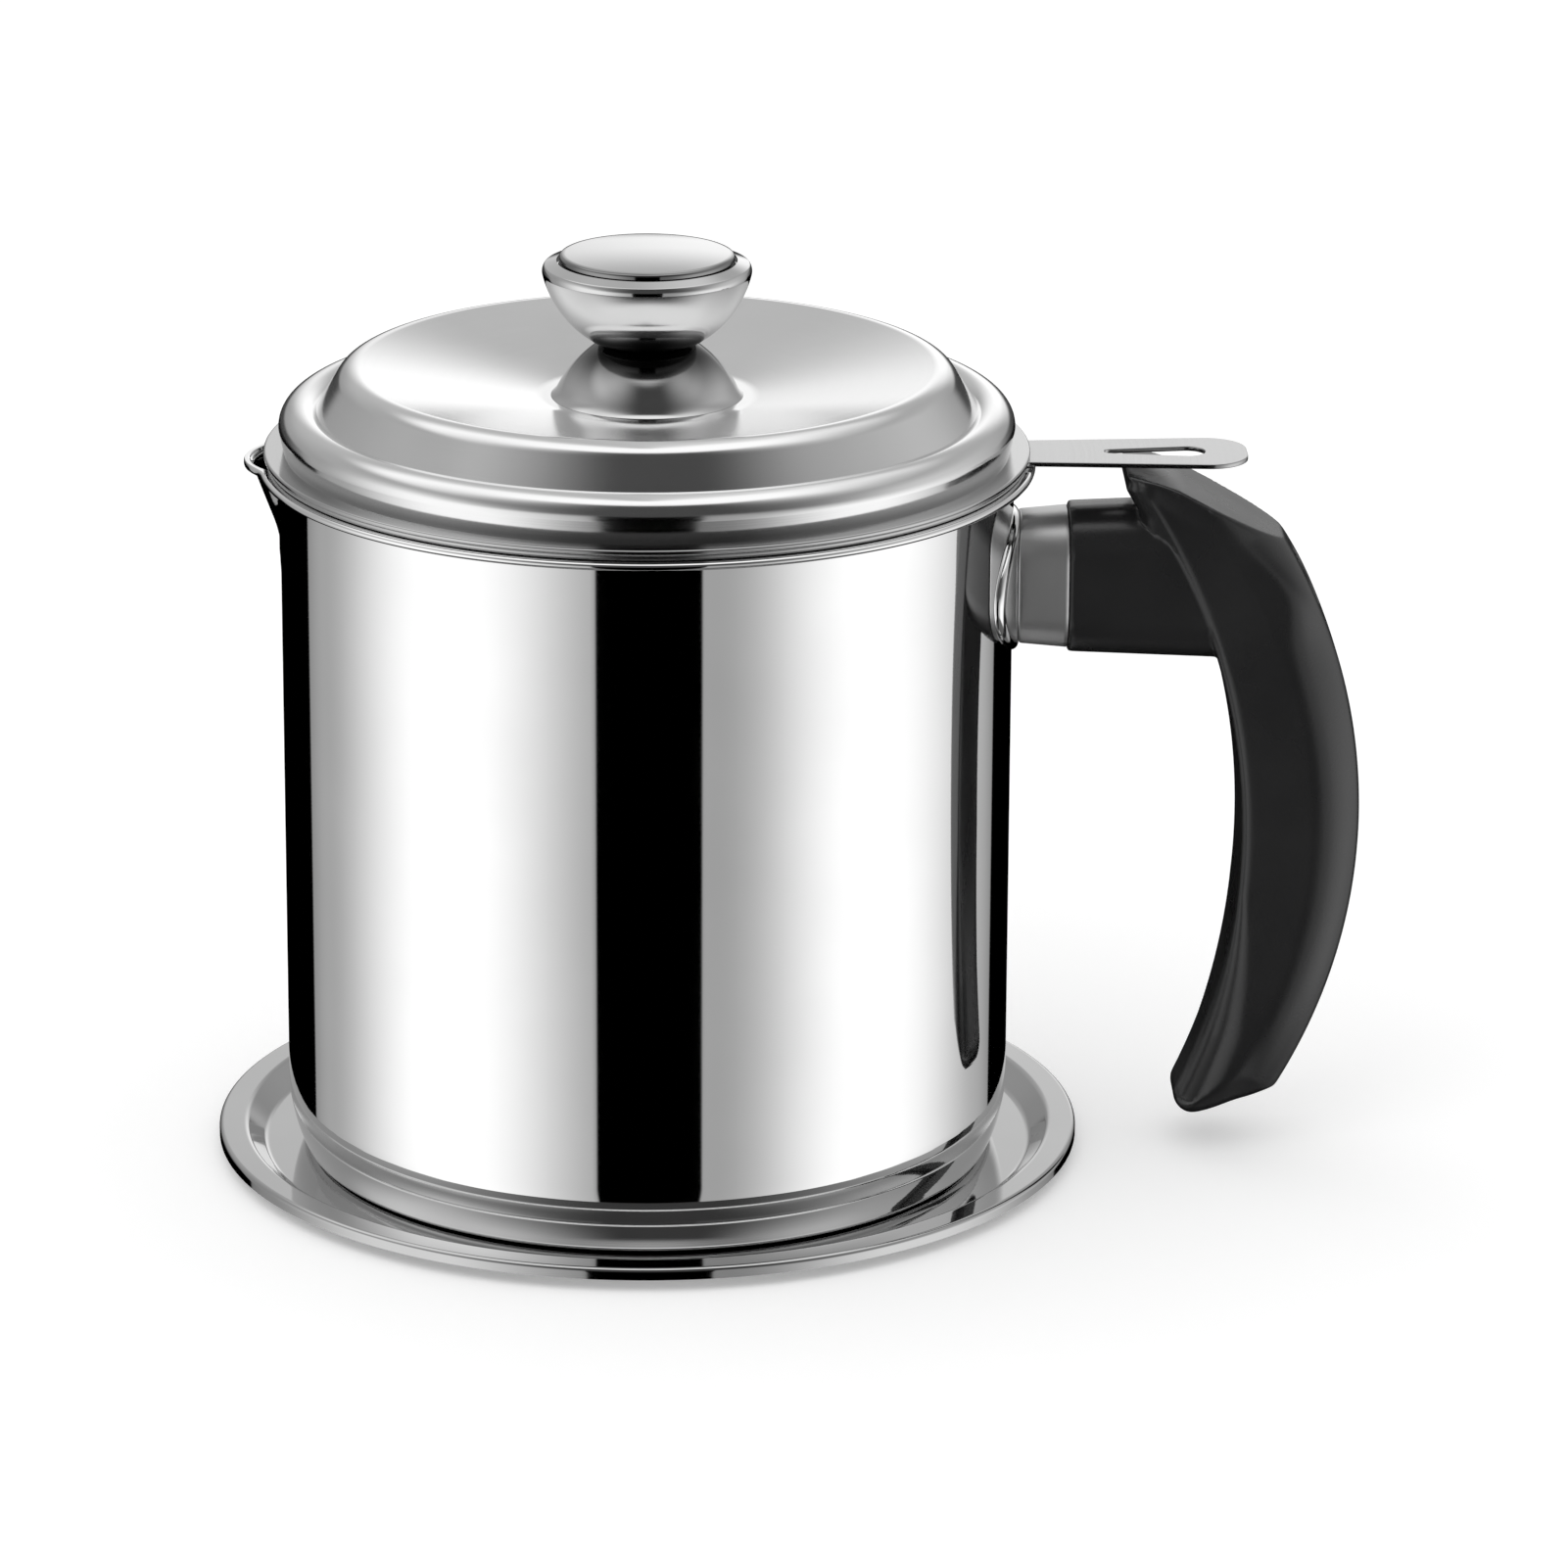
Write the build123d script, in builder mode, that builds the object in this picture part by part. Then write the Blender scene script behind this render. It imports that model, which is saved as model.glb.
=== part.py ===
"""Stainless bacon grease container: drip tray, spouted pot with a moulded side grip,
lift-out gauze strainer with a thumb tab, and a pressed lid with a spun knob.

Millimetres, +Z up.  The origin is the centre of the drip tray's underside, and the
grip and the strainer's tab point along +X.
"""

import os
from math import asin, atan2, cos, degrees, radians, sin, sqrt, tan

from build123d import *

# ---- stock and clearances -------------------------------------------------
sheet = 0.6            # stainless of the pot, the lid and the flame guard
thin_sheet = 0.5       # stainless of the tray and the strainer cup
seat_gap = 0.1         # between parts that rest on each other and lift off
weld_gap = 0.02        # between faces that are welded, pressed or screwed together
thread_gap = 0.05      # screw in its thread
screw_clearance = 0.3  # screw in a plain hole
nest_gap = 0.8         # strainer cup in the pot
skirt_gap = 0.4        # lid's locating lip in the strainer rim

# ---- drip tray ------------------------------------------------------------
tray_margin = 4.0      # flat floor left around the pot
tray_slope_width = 3.2
tray_lip_width = 4.6
tray_depth = 3.2       # floor to the top of the lip
tray_curl_drop = 1.9   # turned-down edge
tray_curl_round = 0.1  # inner round of that edge
tray_bend = 1.2

# ---- pot ------------------------------------------------------------------
pot_radius = 60.0
pot_height = 117.4
pot_lip_width = 3.5
pot_lip_roll = 1.2     # height of the rolled edge
pot_lip_round = 0.5
foot_inset = 2.8       # how far the wall draws in at the foot
foot_height = 6.9
foot_blend = 25.0      # where the wall starts to draw in
foot_edge = 2.0        # round between wall and bottom

spout_drop = 13.4      # length of the pouring spout below the lip
spout_reach = 4.9      # how far its mouth stands out of the wall
spout_root_radius = 3.0
spout_mouth_radius = 12.0
spout_lip_width = 1.0

# ---- strainer -------------------------------------------------------------
rim_overhang = 2.0     # rim beyond the pot's wall
rim_thickness = 0.8
rim_ledge = 0.2        # rim proud of the cup's inner wall
cup_depth = 24.0
cup_straight = 8.0     # straight part of the cup below the rim
cup_taper = 8.6        # how far the cup narrows towards its floor
cup_shoulder_blend = 6.0
cup_floor_bend = 1.5
cup_ledge = 4.0        # ring of floor that carries the gauze
gauze_thickness = 0.6
gauze_margin = 0.5
retainer_width = 2.6
retainer_thickness = 0.8

tab_reach = 36.2       # tip of the tab beyond the rim
tab_root_width = 13.6
tab_tip_width = 17.6
tab_corner = 6.5       # corners of the tip
slot_margin = 9.8      # tip of the tab to the centre of the slot's wide end
slot_length = 12.4     # between the centres of its two ends
slot_tip_radius = 2.9
slot_root_radius = 1.2

# ---- lid ------------------------------------------------------------------
lid_overhang = 0.6     # flange beyond the strainer rim
flange_width = 3.3
flange_thickness = 0.9  # hemmed edge
flange_round = 0.35
skirt_depth = 0.9      # locating lip under the flange, as deep as the rim it drops into
shoulder_bulge = 0.8   # shoulder beyond its foot
shoulder_height = 3.9  # flange to the widest line of the shoulder
shoulder_round = 3.7
groove_inset = 2.5     # groove inside the shoulder's centre
groove_height = 6.6
side_run = 4.7         # plan width of the steep side
crest_height = 14.0
crest_round = 3.7
dish_height = 8.6
dish_margin = 0.4      # flat seat left around the knob's foot
dish_blend = 2.0       # length over which the flat seat turns into the slope

# ---- knob -----------------------------------------------------------------
knob_sheet = 0.8
foot_radius = 15.3
neck_height = 9.3
neck_radius = 6.9
bell_bulge = 1.0       # how far the bell's side bows out of a straight cone
bell_edge = 1.0        # width of the edge that it stands on
bowl_radius = 17.5     # of its round wall, whose centre lies above the bead
bowl_base_radius = 8.9
bowl_height = 11.0     # base to the foot of the bead
bead_radius = 16.7     # outer edge of the bead's top
bead_height = 1.5
bead_rise = 0.7        # fall of the bead's top from the cap to its outer edge
bead_width = 2.0
cap_gap = 0.15         # cap in the bead
cap_rise = 1.0         # edge of the cap above the bead
cap_crown = 0.8

knob_screw_radius = 2.5
knob_head_radius = 4.6
knob_head_height = 2.2
knob_head_round = 1.2
knob_washer_radius = 6.5
knob_washer_thickness = 0.8
bush_wall = 1.7
bush_flange_width = 2.8
bush_flange_height = 2.0
bush_clearance = 0.2
drive_length = 5.2     # cross recess of both screws
drive_width = 1.1
drive_depth = 1.2

# ---- handle bracket and flame guard -----------------------------------------
handle_drop = 20.3     # lip to the axis of the handle screw
saddle_width = 40.0
saddle_height = 22.4
saddle_thickness = 1.1
boss_radius = 5.5
boss_length = 17.0     # pot wall to the end of the tapped boss
boss_clearance = 0.3
guard_length = 9.0     # pot wall to the grip
guard_root_width = 16.4
guard_root_height = 21.6
guard_end_width = 17.6
guard_end_height = 23.2
guard_corner = 7.6

# ---- grip -------------------------------------------------------------------
arm_width = 17.8       # also the width of the finger side's web
arm_height = 24.6      # at the flame guard
arm_growth = 2.4       # height gained on the way to the finger side
arm_corner = 7.8

finger_room = 38.1     # pot wall to the finger side at mid-height
grip_depth = 19.9      # finger side to back at mid-height
finger_bow_top = 4.2   # how far the finger side falls back under the arm
finger_bow_tip = 11.6  # and at the tip
back_bow_top = 13.6    # how far the back falls in at the thumb pad
back_bow_tip = 12.4    # and at the tip
tip_lift = 3.0         # front corner of the tip above the table, before its round
tip_rise = 6.2         # back corner of the tip above its front corner
tip_round = 2.5
tip_back_round = 1.4

web_round = 4.6
back_width = 20.6      # widest line of the grip
back_round = 7.8
ridge_depth = 8.1      # back to the widest line
flare_depth = 6.0      # widest line to the web's flat side

pad_clearance = 0.9    # thumb pad below the strainer's tab
pad_nose_lead = 9.0    # flame guard to the pad's nose
pad_nose_height = 2.8
pad_nose_lean = 0.6
pad_neck_inset = 2.4   # undercut below the nose
pad_flat = 3.6
pad_slope = 28.2       # degrees, fall of the thumb face towards the back
pad_width = 21.6
pad_corner = 3.0
pad_side_depth = 5.2   # thumb face to the foot of its flared sides, at the nose
pad_foot_slope = 43.0  # degrees, fall of that foot
pad_root_depth = 8.0   # pad sunk into the arm

handle_screw_radius = 2.5
handle_head_radius = 4.3
handle_head_height = 2.8
handle_head_round = 1.0
head_depth = 26.0      # flame guard to the seat of the screw's washer
handle_thread = 9.0    # length of thread in the boss
counterbore_clearance = 0.6
handle_washer_radius = 4.6
handle_washer_thickness = 0.8

# ---- heights and radii that follow --------------------------------------------
pot_bore = pot_radius - sheet
pot_base_z = thin_sheet + seat_gap
lip_z = pot_base_z + pot_height
rim_z = lip_z + seat_gap
rim_top_z = rim_z + rim_thickness
lid_z = rim_top_z + seat_gap
flange_z = lid_z + flange_thickness
dish_z = flange_z + dish_height
neck_z = dish_z + neck_height
handle_z = lip_z - handle_drop

cup_radius = pot_bore - nest_gap
rim_radius = pot_radius + rim_overhang
rim_bore = cup_radius - thin_sheet - rim_ledge
lid_radius = rim_radius + lid_overhang
skirt_radius = rim_bore - skirt_gap

os.makedirs("parts", exist_ok=True)


def keep(part, name):
    """Label a finished piece and write it to its own file."""
    part.label = name
    export_step(part, f"parts/{name}.step")


# ---- drip tray: one pressed sheet, flat floor, sloped wall, turned-down lip ---
tray_floor_radius = pot_radius + tray_margin
tray_slope_radius = tray_floor_radius + tray_slope_width
tray_radius = tray_slope_radius + tray_lip_width
tray_top_z = thin_sheet + tray_depth

with BuildPart() as drip_tray:
    with BuildSketch(Plane.XZ):
        with BuildLine():
            FilletPolyline(
                (0, thin_sheet),
                (tray_floor_radius, thin_sheet),
                (tray_slope_radius, tray_top_z),
                (tray_radius, tray_top_z),
                (tray_radius, tray_top_z - tray_curl_drop),
                radius=[tray_bend, tray_bend, tray_curl_round + thin_sheet],
            )
            offset(amount=thin_sheet, side=Side.RIGHT)
        make_face()
    revolve(axis=Axis.Z)
keep(drip_tray.part, "drip_tray")

# ---- pot: drawn wall, rolled lip and pinched pouring spout --------------------
lip_radius = pot_radius + pot_lip_width
spout_root_z = lip_z - spout_drop
spout_root_x = spout_root_radius - pot_radius
spout_mouth_x = spout_mouth_radius - pot_radius - spout_reach


def wall_profile(inset):
    """Closed half section of the pot's wall and bottom, moved in by a sheet's gauge."""
    lean = atan2(foot_inset, foot_height)
    shift = inset * (1 - sin(lean)) / cos(lean)
    bottom_z = pot_base_z + inset
    FilletPolyline(
        (0, bottom_z),
        (pot_radius - foot_inset - shift, bottom_z),
        (pot_radius - inset, pot_base_z + foot_height),
        (pot_radius - inset, lip_z),
        radius=[foot_edge - inset, foot_blend - inset],
    )
    Polyline((pot_radius - inset, lip_z), (0, lip_z), (0, bottom_z))


with BuildPart() as pot_body:
    with BuildSketch(Plane.XZ):
        with BuildLine():
            wall_profile(0)
        make_face()
    revolve(axis=Axis.Z)
    with BuildSketch(Plane.XY.offset(spout_root_z)):
        with Locations((spout_root_x, 0)):
            Circle(spout_root_radius)
    with BuildSketch(Plane.XY.offset(lip_z)):
        with Locations((spout_mouth_x, 0)):
            Circle(spout_mouth_radius)
    loft()
    with BuildSketch(Plane.XY.offset(lip_z - pot_lip_roll)):
        Circle(lip_radius)
        with Locations((spout_mouth_x, 0)):
            Circle(spout_mouth_radius + spout_lip_width)
    extrude(amount=pot_lip_roll)
    fillet(pot_body.faces().sort_by(Axis.Z)[-1].edges(), radius=pot_lip_round)
    with BuildSketch(Plane.XZ):
        with BuildLine():
            wall_profile(sheet)
        make_face()
    revolve(axis=Axis.Z, mode=Mode.SUBTRACT)
    with BuildSketch(Plane.XY.offset(spout_root_z)):
        with Locations((spout_root_x, 0)):
            Circle(spout_root_radius - sheet)
    with BuildSketch(Plane.XY.offset(lip_z)):
        with Locations((spout_mouth_x, 0)):
            Circle(spout_mouth_radius - sheet)
    loft(mode=Mode.SUBTRACT)
keep(pot_body.part, "pot_body")

# ---- strainer: cup, rim with its thumb tab, gauze and the ring that clamps it --
cup_floor_radius = cup_radius - cup_taper
cup_floor_z = rim_z - cup_depth

with BuildPart() as strainer_cup:
    with BuildSketch(Plane.XZ):
        with BuildLine():
            FilletPolyline(
                (cup_radius, rim_z - weld_gap),
                (cup_radius, rim_z - cup_straight),
                (cup_floor_radius, cup_floor_z),
                (cup_floor_radius - cup_ledge, cup_floor_z),
                radius=[cup_shoulder_blend, cup_floor_bend],
            )
            offset(amount=thin_sheet, side=Side.RIGHT)
        make_face()
    revolve(axis=Axis.Z)
keep(strainer_cup.part, "strainer_cup")

tab_tip_x = rim_radius + tab_reach
slot_tip_x = tab_tip_x - slot_margin
slot_root_x = slot_tip_x - slot_length

with BuildPart() as strainer_rim:
    with BuildSketch(Plane.XY.offset(rim_z)) as rim_sketch:
        with BuildLine():
            Polyline(
                (rim_bore, -tab_root_width / 2),
                (rim_radius, -tab_root_width / 2),
                (tab_tip_x, -tab_tip_width / 2),
                (tab_tip_x, tab_tip_width / 2),
                (rim_radius, tab_root_width / 2),
                (rim_bore, tab_root_width / 2),
                close=True,
            )
        make_face()
        fillet(rim_sketch.vertices().group_by(Axis.X)[-1], radius=tab_corner)
        Circle(rim_radius)
        Circle(rim_bore, mode=Mode.SUBTRACT)
        with Locations((slot_tip_x, 0)):
            Circle(slot_tip_radius, mode=Mode.SUBTRACT)
        with Locations((slot_root_x, 0)):
            Circle(slot_root_radius, mode=Mode.SUBTRACT)
        slot_lean = asin((slot_tip_radius - slot_root_radius) / slot_length)
        with BuildLine():
            Polyline(
                (slot_root_x - slot_root_radius * sin(slot_lean), slot_root_radius * cos(slot_lean)),
                (slot_tip_x - slot_tip_radius * sin(slot_lean), slot_tip_radius * cos(slot_lean)),
                (slot_tip_x - slot_tip_radius * sin(slot_lean), -slot_tip_radius * cos(slot_lean)),
                (slot_root_x - slot_root_radius * sin(slot_lean), -slot_root_radius * cos(slot_lean)),
                close=True,
            )
        make_face(mode=Mode.SUBTRACT)
    extrude(amount=rim_thickness)
keep(strainer_rim.part, "strainer_rim")

gauze_z = cup_floor_z + thin_sheet + weld_gap
gauze_radius = cup_floor_radius - thin_sheet - gauze_margin

with BuildPart() as strainer_gauze:
    with BuildSketch(Plane.XY.offset(gauze_z)):
        Circle(gauze_radius)
    extrude(amount=gauze_thickness)
keep(strainer_gauze.part, "strainer_gauze")

with BuildPart() as gauze_retainer:
    with BuildSketch(Plane.XY.offset(gauze_z + gauze_thickness + weld_gap)):
        Circle(gauze_radius)
        Circle(gauze_radius - retainer_width, mode=Mode.SUBTRACT)
    extrude(amount=retainer_thickness)
keep(gauze_retainer.part, "gauze_retainer")

# ---- lid: hemmed flange, locating lip, bulged shoulder, dished crown ----------
shoulder_foot = lid_radius - flange_width
shoulder_radius = shoulder_foot + shoulder_bulge
shoulder_centre = shoulder_radius - shoulder_round
shoulder_z = flange_z + shoulder_height
groove_radius = shoulder_centre - groove_inset
groove_z = flange_z + groove_height
crest_radius = groove_radius - side_run
crest_z = flange_z + crest_height
seat_radius = foot_radius + dish_margin + dish_blend
dish_slope = atan2(crest_z - dish_z, crest_radius - seat_radius)
lid_hole = knob_screw_radius + screw_clearance

with BuildPart() as lid_shell:
    with BuildSketch(Plane.XZ):
        with BuildLine():
            crown = FilletPolyline(
                (lid_hole, dish_z),
                (seat_radius, dish_z),
                (crest_radius, crest_z),
                (groove_radius, groove_z),
                radius=[dish_blend / tan(dish_slope / 2), crest_round],
            )
            shoulder = ThreePointArc(
                crown @ 1,
                (shoulder_centre, shoulder_z + shoulder_round),
                (shoulder_radius, shoulder_z),
            )
            Line(shoulder @ 1, (shoulder_foot, lid_z + flange_thickness / 2))
            offset(amount=sheet, side=Side.RIGHT)
        make_face()
    revolve(axis=Axis.Z)
    with BuildSketch(Plane.XY.offset(lid_z)):
        Circle(lid_radius)
        Circle(skirt_radius - sheet, mode=Mode.SUBTRACT)
    extrude(amount=flange_thickness)
    edges_by_size = lid_shell.edges().filter_by(GeomType.CIRCLE).group_by(SortBy.RADIUS)
    fillet(edges_by_size[-1], radius=flange_round)
    with BuildSketch(Plane.XY.offset(lid_z - skirt_depth)):
        Circle(skirt_radius)
        Circle(skirt_radius - sheet, mode=Mode.SUBTRACT)
    extrude(amount=skirt_depth)
keep(lid_shell.part, "lid_shell")

# ---- knob: bell-shaped foot, spun bowl with a beaded edge, domed cap -----------
bush_radius = knob_screw_radius + bush_wall
bush_hole = bush_radius + bush_clearance

with BuildPart() as knob_foot:
    with BuildSketch(Plane.XZ):
        with BuildLine():
            standing_z = dish_z + weld_gap
            Polyline(
                (neck_radius, neck_z),
                (bush_hole, neck_z),
                (bush_hole, neck_z - knob_sheet),
                (neck_radius - knob_sheet / 2, neck_z - knob_sheet),
            )
            SagittaArc(
                (neck_radius - knob_sheet / 2, neck_z - knob_sheet),
                (foot_radius - bell_edge, standing_z),
                bell_bulge,
            )
            Line((foot_radius - bell_edge, standing_z), (foot_radius, standing_z))
            SagittaArc((foot_radius, standing_z), (neck_radius, neck_z), -bell_bulge)
        make_face()
    revolve(axis=Axis.Z)
keep(knob_foot.part, "knob_foot")

bowl_z = neck_z + weld_gap
bowl_centre_z = bowl_z + sqrt(bowl_radius**2 - bowl_base_radius**2)
base_angle = degrees(asin((bowl_z - bowl_centre_z) / bowl_radius))
bead_angle = degrees(asin((bowl_z + bowl_height - bowl_centre_z) / bowl_radius))
bead_edge_z = bowl_z + bowl_height + bead_height
bead_z = bead_edge_z + bead_rise
bead_bore = bead_radius - bead_width

with BuildPart() as knob_bowl:
    with BuildSketch(Plane.XZ):
        with BuildLine():
            bowl = CenterArc((0, bowl_centre_z), bowl_radius, base_angle, bead_angle - base_angle)
            Line((bush_hole, bowl_z), bowl @ 0)
            TangentArc(bowl @ 1, (bead_radius, bead_edge_z), tangent=bowl % 1)
            Line((bead_radius, bead_edge_z), (bead_bore, bead_z))
            offset(amount=knob_sheet, side=Side.LEFT)
        make_face()
    revolve(axis=Axis.Z)
keep(knob_bowl.part, "knob_bowl")

bead_lean = atan2(bead_rise, bead_width)
cap_radius = bead_bore - knob_sheet * sin(bead_lean) - cap_gap
cap_z = bead_z + cap_rise

with BuildPart() as knob_cap:
    with BuildSketch(Plane.XZ):
        with BuildLine():
            TangentArc((0, cap_z + cap_crown), (cap_radius, cap_z), tangent=(1, 0))
            Polyline(
                (cap_radius, cap_z), (cap_radius, bead_edge_z - knob_sheet),
                (0, bead_edge_z - knob_sheet), (0, cap_z + cap_crown),
            )
        make_face()
    revolve(axis=Axis.Z)
keep(knob_cap.part, "knob_cap")

bush_z = bowl_z + knob_sheet + weld_gap
with BuildPart() as knob_bush:
    with BuildSketch(Plane.XY.offset(dish_z + weld_gap)):
        Circle(bush_radius)
    extrude(amount=bush_z - dish_z)
    with BuildSketch(Plane.XY.offset(bush_z)):
        Circle(bush_radius + bush_flange_width)
    extrude(amount=bush_flange_height)
    with BuildSketch(Plane.XY.offset(dish_z + weld_gap)):
        Circle(knob_screw_radius + thread_gap)
    extrude(amount=neck_height, mode=Mode.SUBTRACT)
keep(knob_bush.part, "knob_bush")

knob_washer_z = dish_z - sheet - weld_gap - knob_washer_thickness
with BuildPart() as knob_washer:
    with BuildSketch(Plane.XY.offset(knob_washer_z)):
        Circle(knob_washer_radius)
        Circle(lid_hole, mode=Mode.SUBTRACT)
    extrude(amount=knob_washer_thickness)
keep(knob_washer.part, "knob_washer")

knob_head_z = knob_washer_z - weld_gap
with BuildPart() as knob_screw:
    with BuildSketch(Plane.XY.offset(knob_head_z)):
        Circle(knob_head_radius)
    extrude(amount=-knob_head_height)
    fillet(knob_screw.edges().group_by(Axis.Z)[0], radius=knob_head_round)
    with BuildSketch(Plane.XY.offset(knob_head_z)):
        Circle(knob_screw_radius)
    extrude(amount=neck_z - weld_gap - knob_head_z)
    with BuildSketch(Plane.XY.offset(knob_head_z - knob_head_height)):
        Rectangle(drive_length, drive_width)
        Rectangle(drive_width, drive_length)
    extrude(amount=drive_depth, mode=Mode.SUBTRACT)
keep(knob_screw.part, "knob_screw")

# ---- handle bracket: saddle plate on the wall and a tapped boss ----------------
saddle_inner = pot_radius + weld_gap
saddle_outer = saddle_inner + saddle_thickness
boss_end = pot_radius + boss_length
guard_end = pot_radius + guard_length
thread_hole = handle_screw_radius + thread_gap
thread_end = boss_end - handle_thread

with BuildPart() as handle_bracket:
    with BuildSketch(Plane.YZ):
        with Locations((0, handle_z)):
            Ellipse(saddle_width / 2, saddle_height / 2)
    extrude(amount=lip_radius)
    with BuildSketch(Plane.XY):
        Circle(saddle_outer)
    extrude(amount=lip_z, mode=Mode.INTERSECT)
    with BuildSketch(Plane.YZ):
        with Locations((0, handle_z)):
            Circle(boss_radius)
    extrude(amount=boss_end)
    with BuildSketch(Plane.XY):
        Circle(saddle_inner)
    extrude(amount=lip_z, mode=Mode.SUBTRACT)
    with BuildSketch(Plane.YZ.offset(thread_end)):
        with Locations((0, handle_z)):
            Circle(thread_hole)
    extrude(amount=handle_thread, mode=Mode.SUBTRACT)
keep(handle_bracket.part, "handle_bracket")

# ---- flame guard: tapered oval sleeve, its root cut to the saddle --------------
guard_root = pot_radius - guard_length
guard_lean = (guard_end - guard_root) / guard_length
root_width = guard_end_width - (guard_end_width - guard_root_width) * guard_lean
root_height = guard_end_height - (guard_end_height - guard_root_height) * guard_lean

with BuildPart() as flame_guard:
    for inset, mode in ((0, Mode.ADD), (sheet, Mode.SUBTRACT)):
        with BuildSketch(Plane.YZ.offset(guard_root)):
            with Locations((0, handle_z)):
                RectangleRounded(
                    root_width - 2 * inset, root_height - 2 * inset,
                    guard_corner * root_width / guard_end_width - inset,
                )
        with BuildSketch(Plane.YZ.offset(guard_end)):
            with Locations((0, handle_z)):
                RectangleRounded(
                    guard_end_width - 2 * inset, guard_end_height - 2 * inset, guard_corner - inset
                )
        loft(mode=mode)
    with BuildSketch(Plane.XY):
        Circle(saddle_outer + weld_gap)
    extrude(amount=lip_z, mode=Mode.SUBTRACT)
keep(flame_guard.part, "flame_guard")

# ---- grip: arm, round-edged web on the finger side, wide rounded back, thumb pad
arm_start = guard_end + weld_gap
finger_x = pot_radius + finger_room
back_x = finger_x + grip_depth
arm_top_z = handle_z + arm_height / 2
corner_z = handle_z - (arm_height + arm_growth) / 2
pad_z = rim_z - pad_clearance
nose_x = guard_end + pad_nose_lead
neck_x = nose_x + pad_neck_inset
flat_x = nose_x + pad_nose_lean + pad_flat
heel_x = back_x - back_bow_top
heel_z = pad_z - (heel_x - flat_x) * tan(radians(pad_slope))
tip_back_z = tip_lift + tip_rise
middle_z = (heel_z + tip_back_z) / 2

heel = (heel_x, heel_z)
back_middle = (back_x, middle_z)
tip_back = (back_x - back_bow_tip, tip_back_z)
tip_front = (finger_x - finger_bow_tip, tip_lift)
finger_middle = (finger_x, middle_z)
corner = (finger_x - finger_bow_top, corner_z)


def side_arc(start, middle, end):
    """Centre (x, z) and radius of the arc that one side of the grip follows."""
    arc = Edge.make_three_point_arc(Vector(*start), Vector(*middle), Vector(*end))
    return arc.arc_center, arc.radius


def height_angle(centre, radius, height):
    """Angle, seen from an arc's centre, of a height on a circle about it."""
    return asin((height - centre.Y) / radius)


def side_plane(centre, angle):
    """Plane across a side arc: its origin is the arc's centre, x points outwards."""
    outwards = (cos(angle), 0, sin(angle))
    return Plane((centre.X, 0, centre.Y), x_dir=outwards, z_dir=(-sin(angle), 0, cos(angle)))


def pad_plane(x, z, slope):
    """Plane across the pad whose x falls towards the grip's back."""
    fall = radians(slope)
    return Plane((x, 0, z), x_dir=(cos(fall), 0, -sin(fall)), z_dir=(sin(fall), 0, cos(fall)))


back_centre, back_radius = side_arc(heel, back_middle, tip_back)
back_start = height_angle(back_centre, back_radius, pad_z)
ridge_radius = back_radius - ridge_depth
flare_radius = ridge_radius - flare_depth
back_end = height_angle(back_centre, flare_radius, tip_lift)

finger_centre, finger_radius = side_arc(corner, finger_middle, tip_front)
web_start = height_angle(finger_centre, finger_radius, handle_z)
web_depth = grip_depth - ridge_depth
web_end = height_angle(finger_centre, finger_radius, 0)
pad_length = heel_x - nose_x

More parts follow.
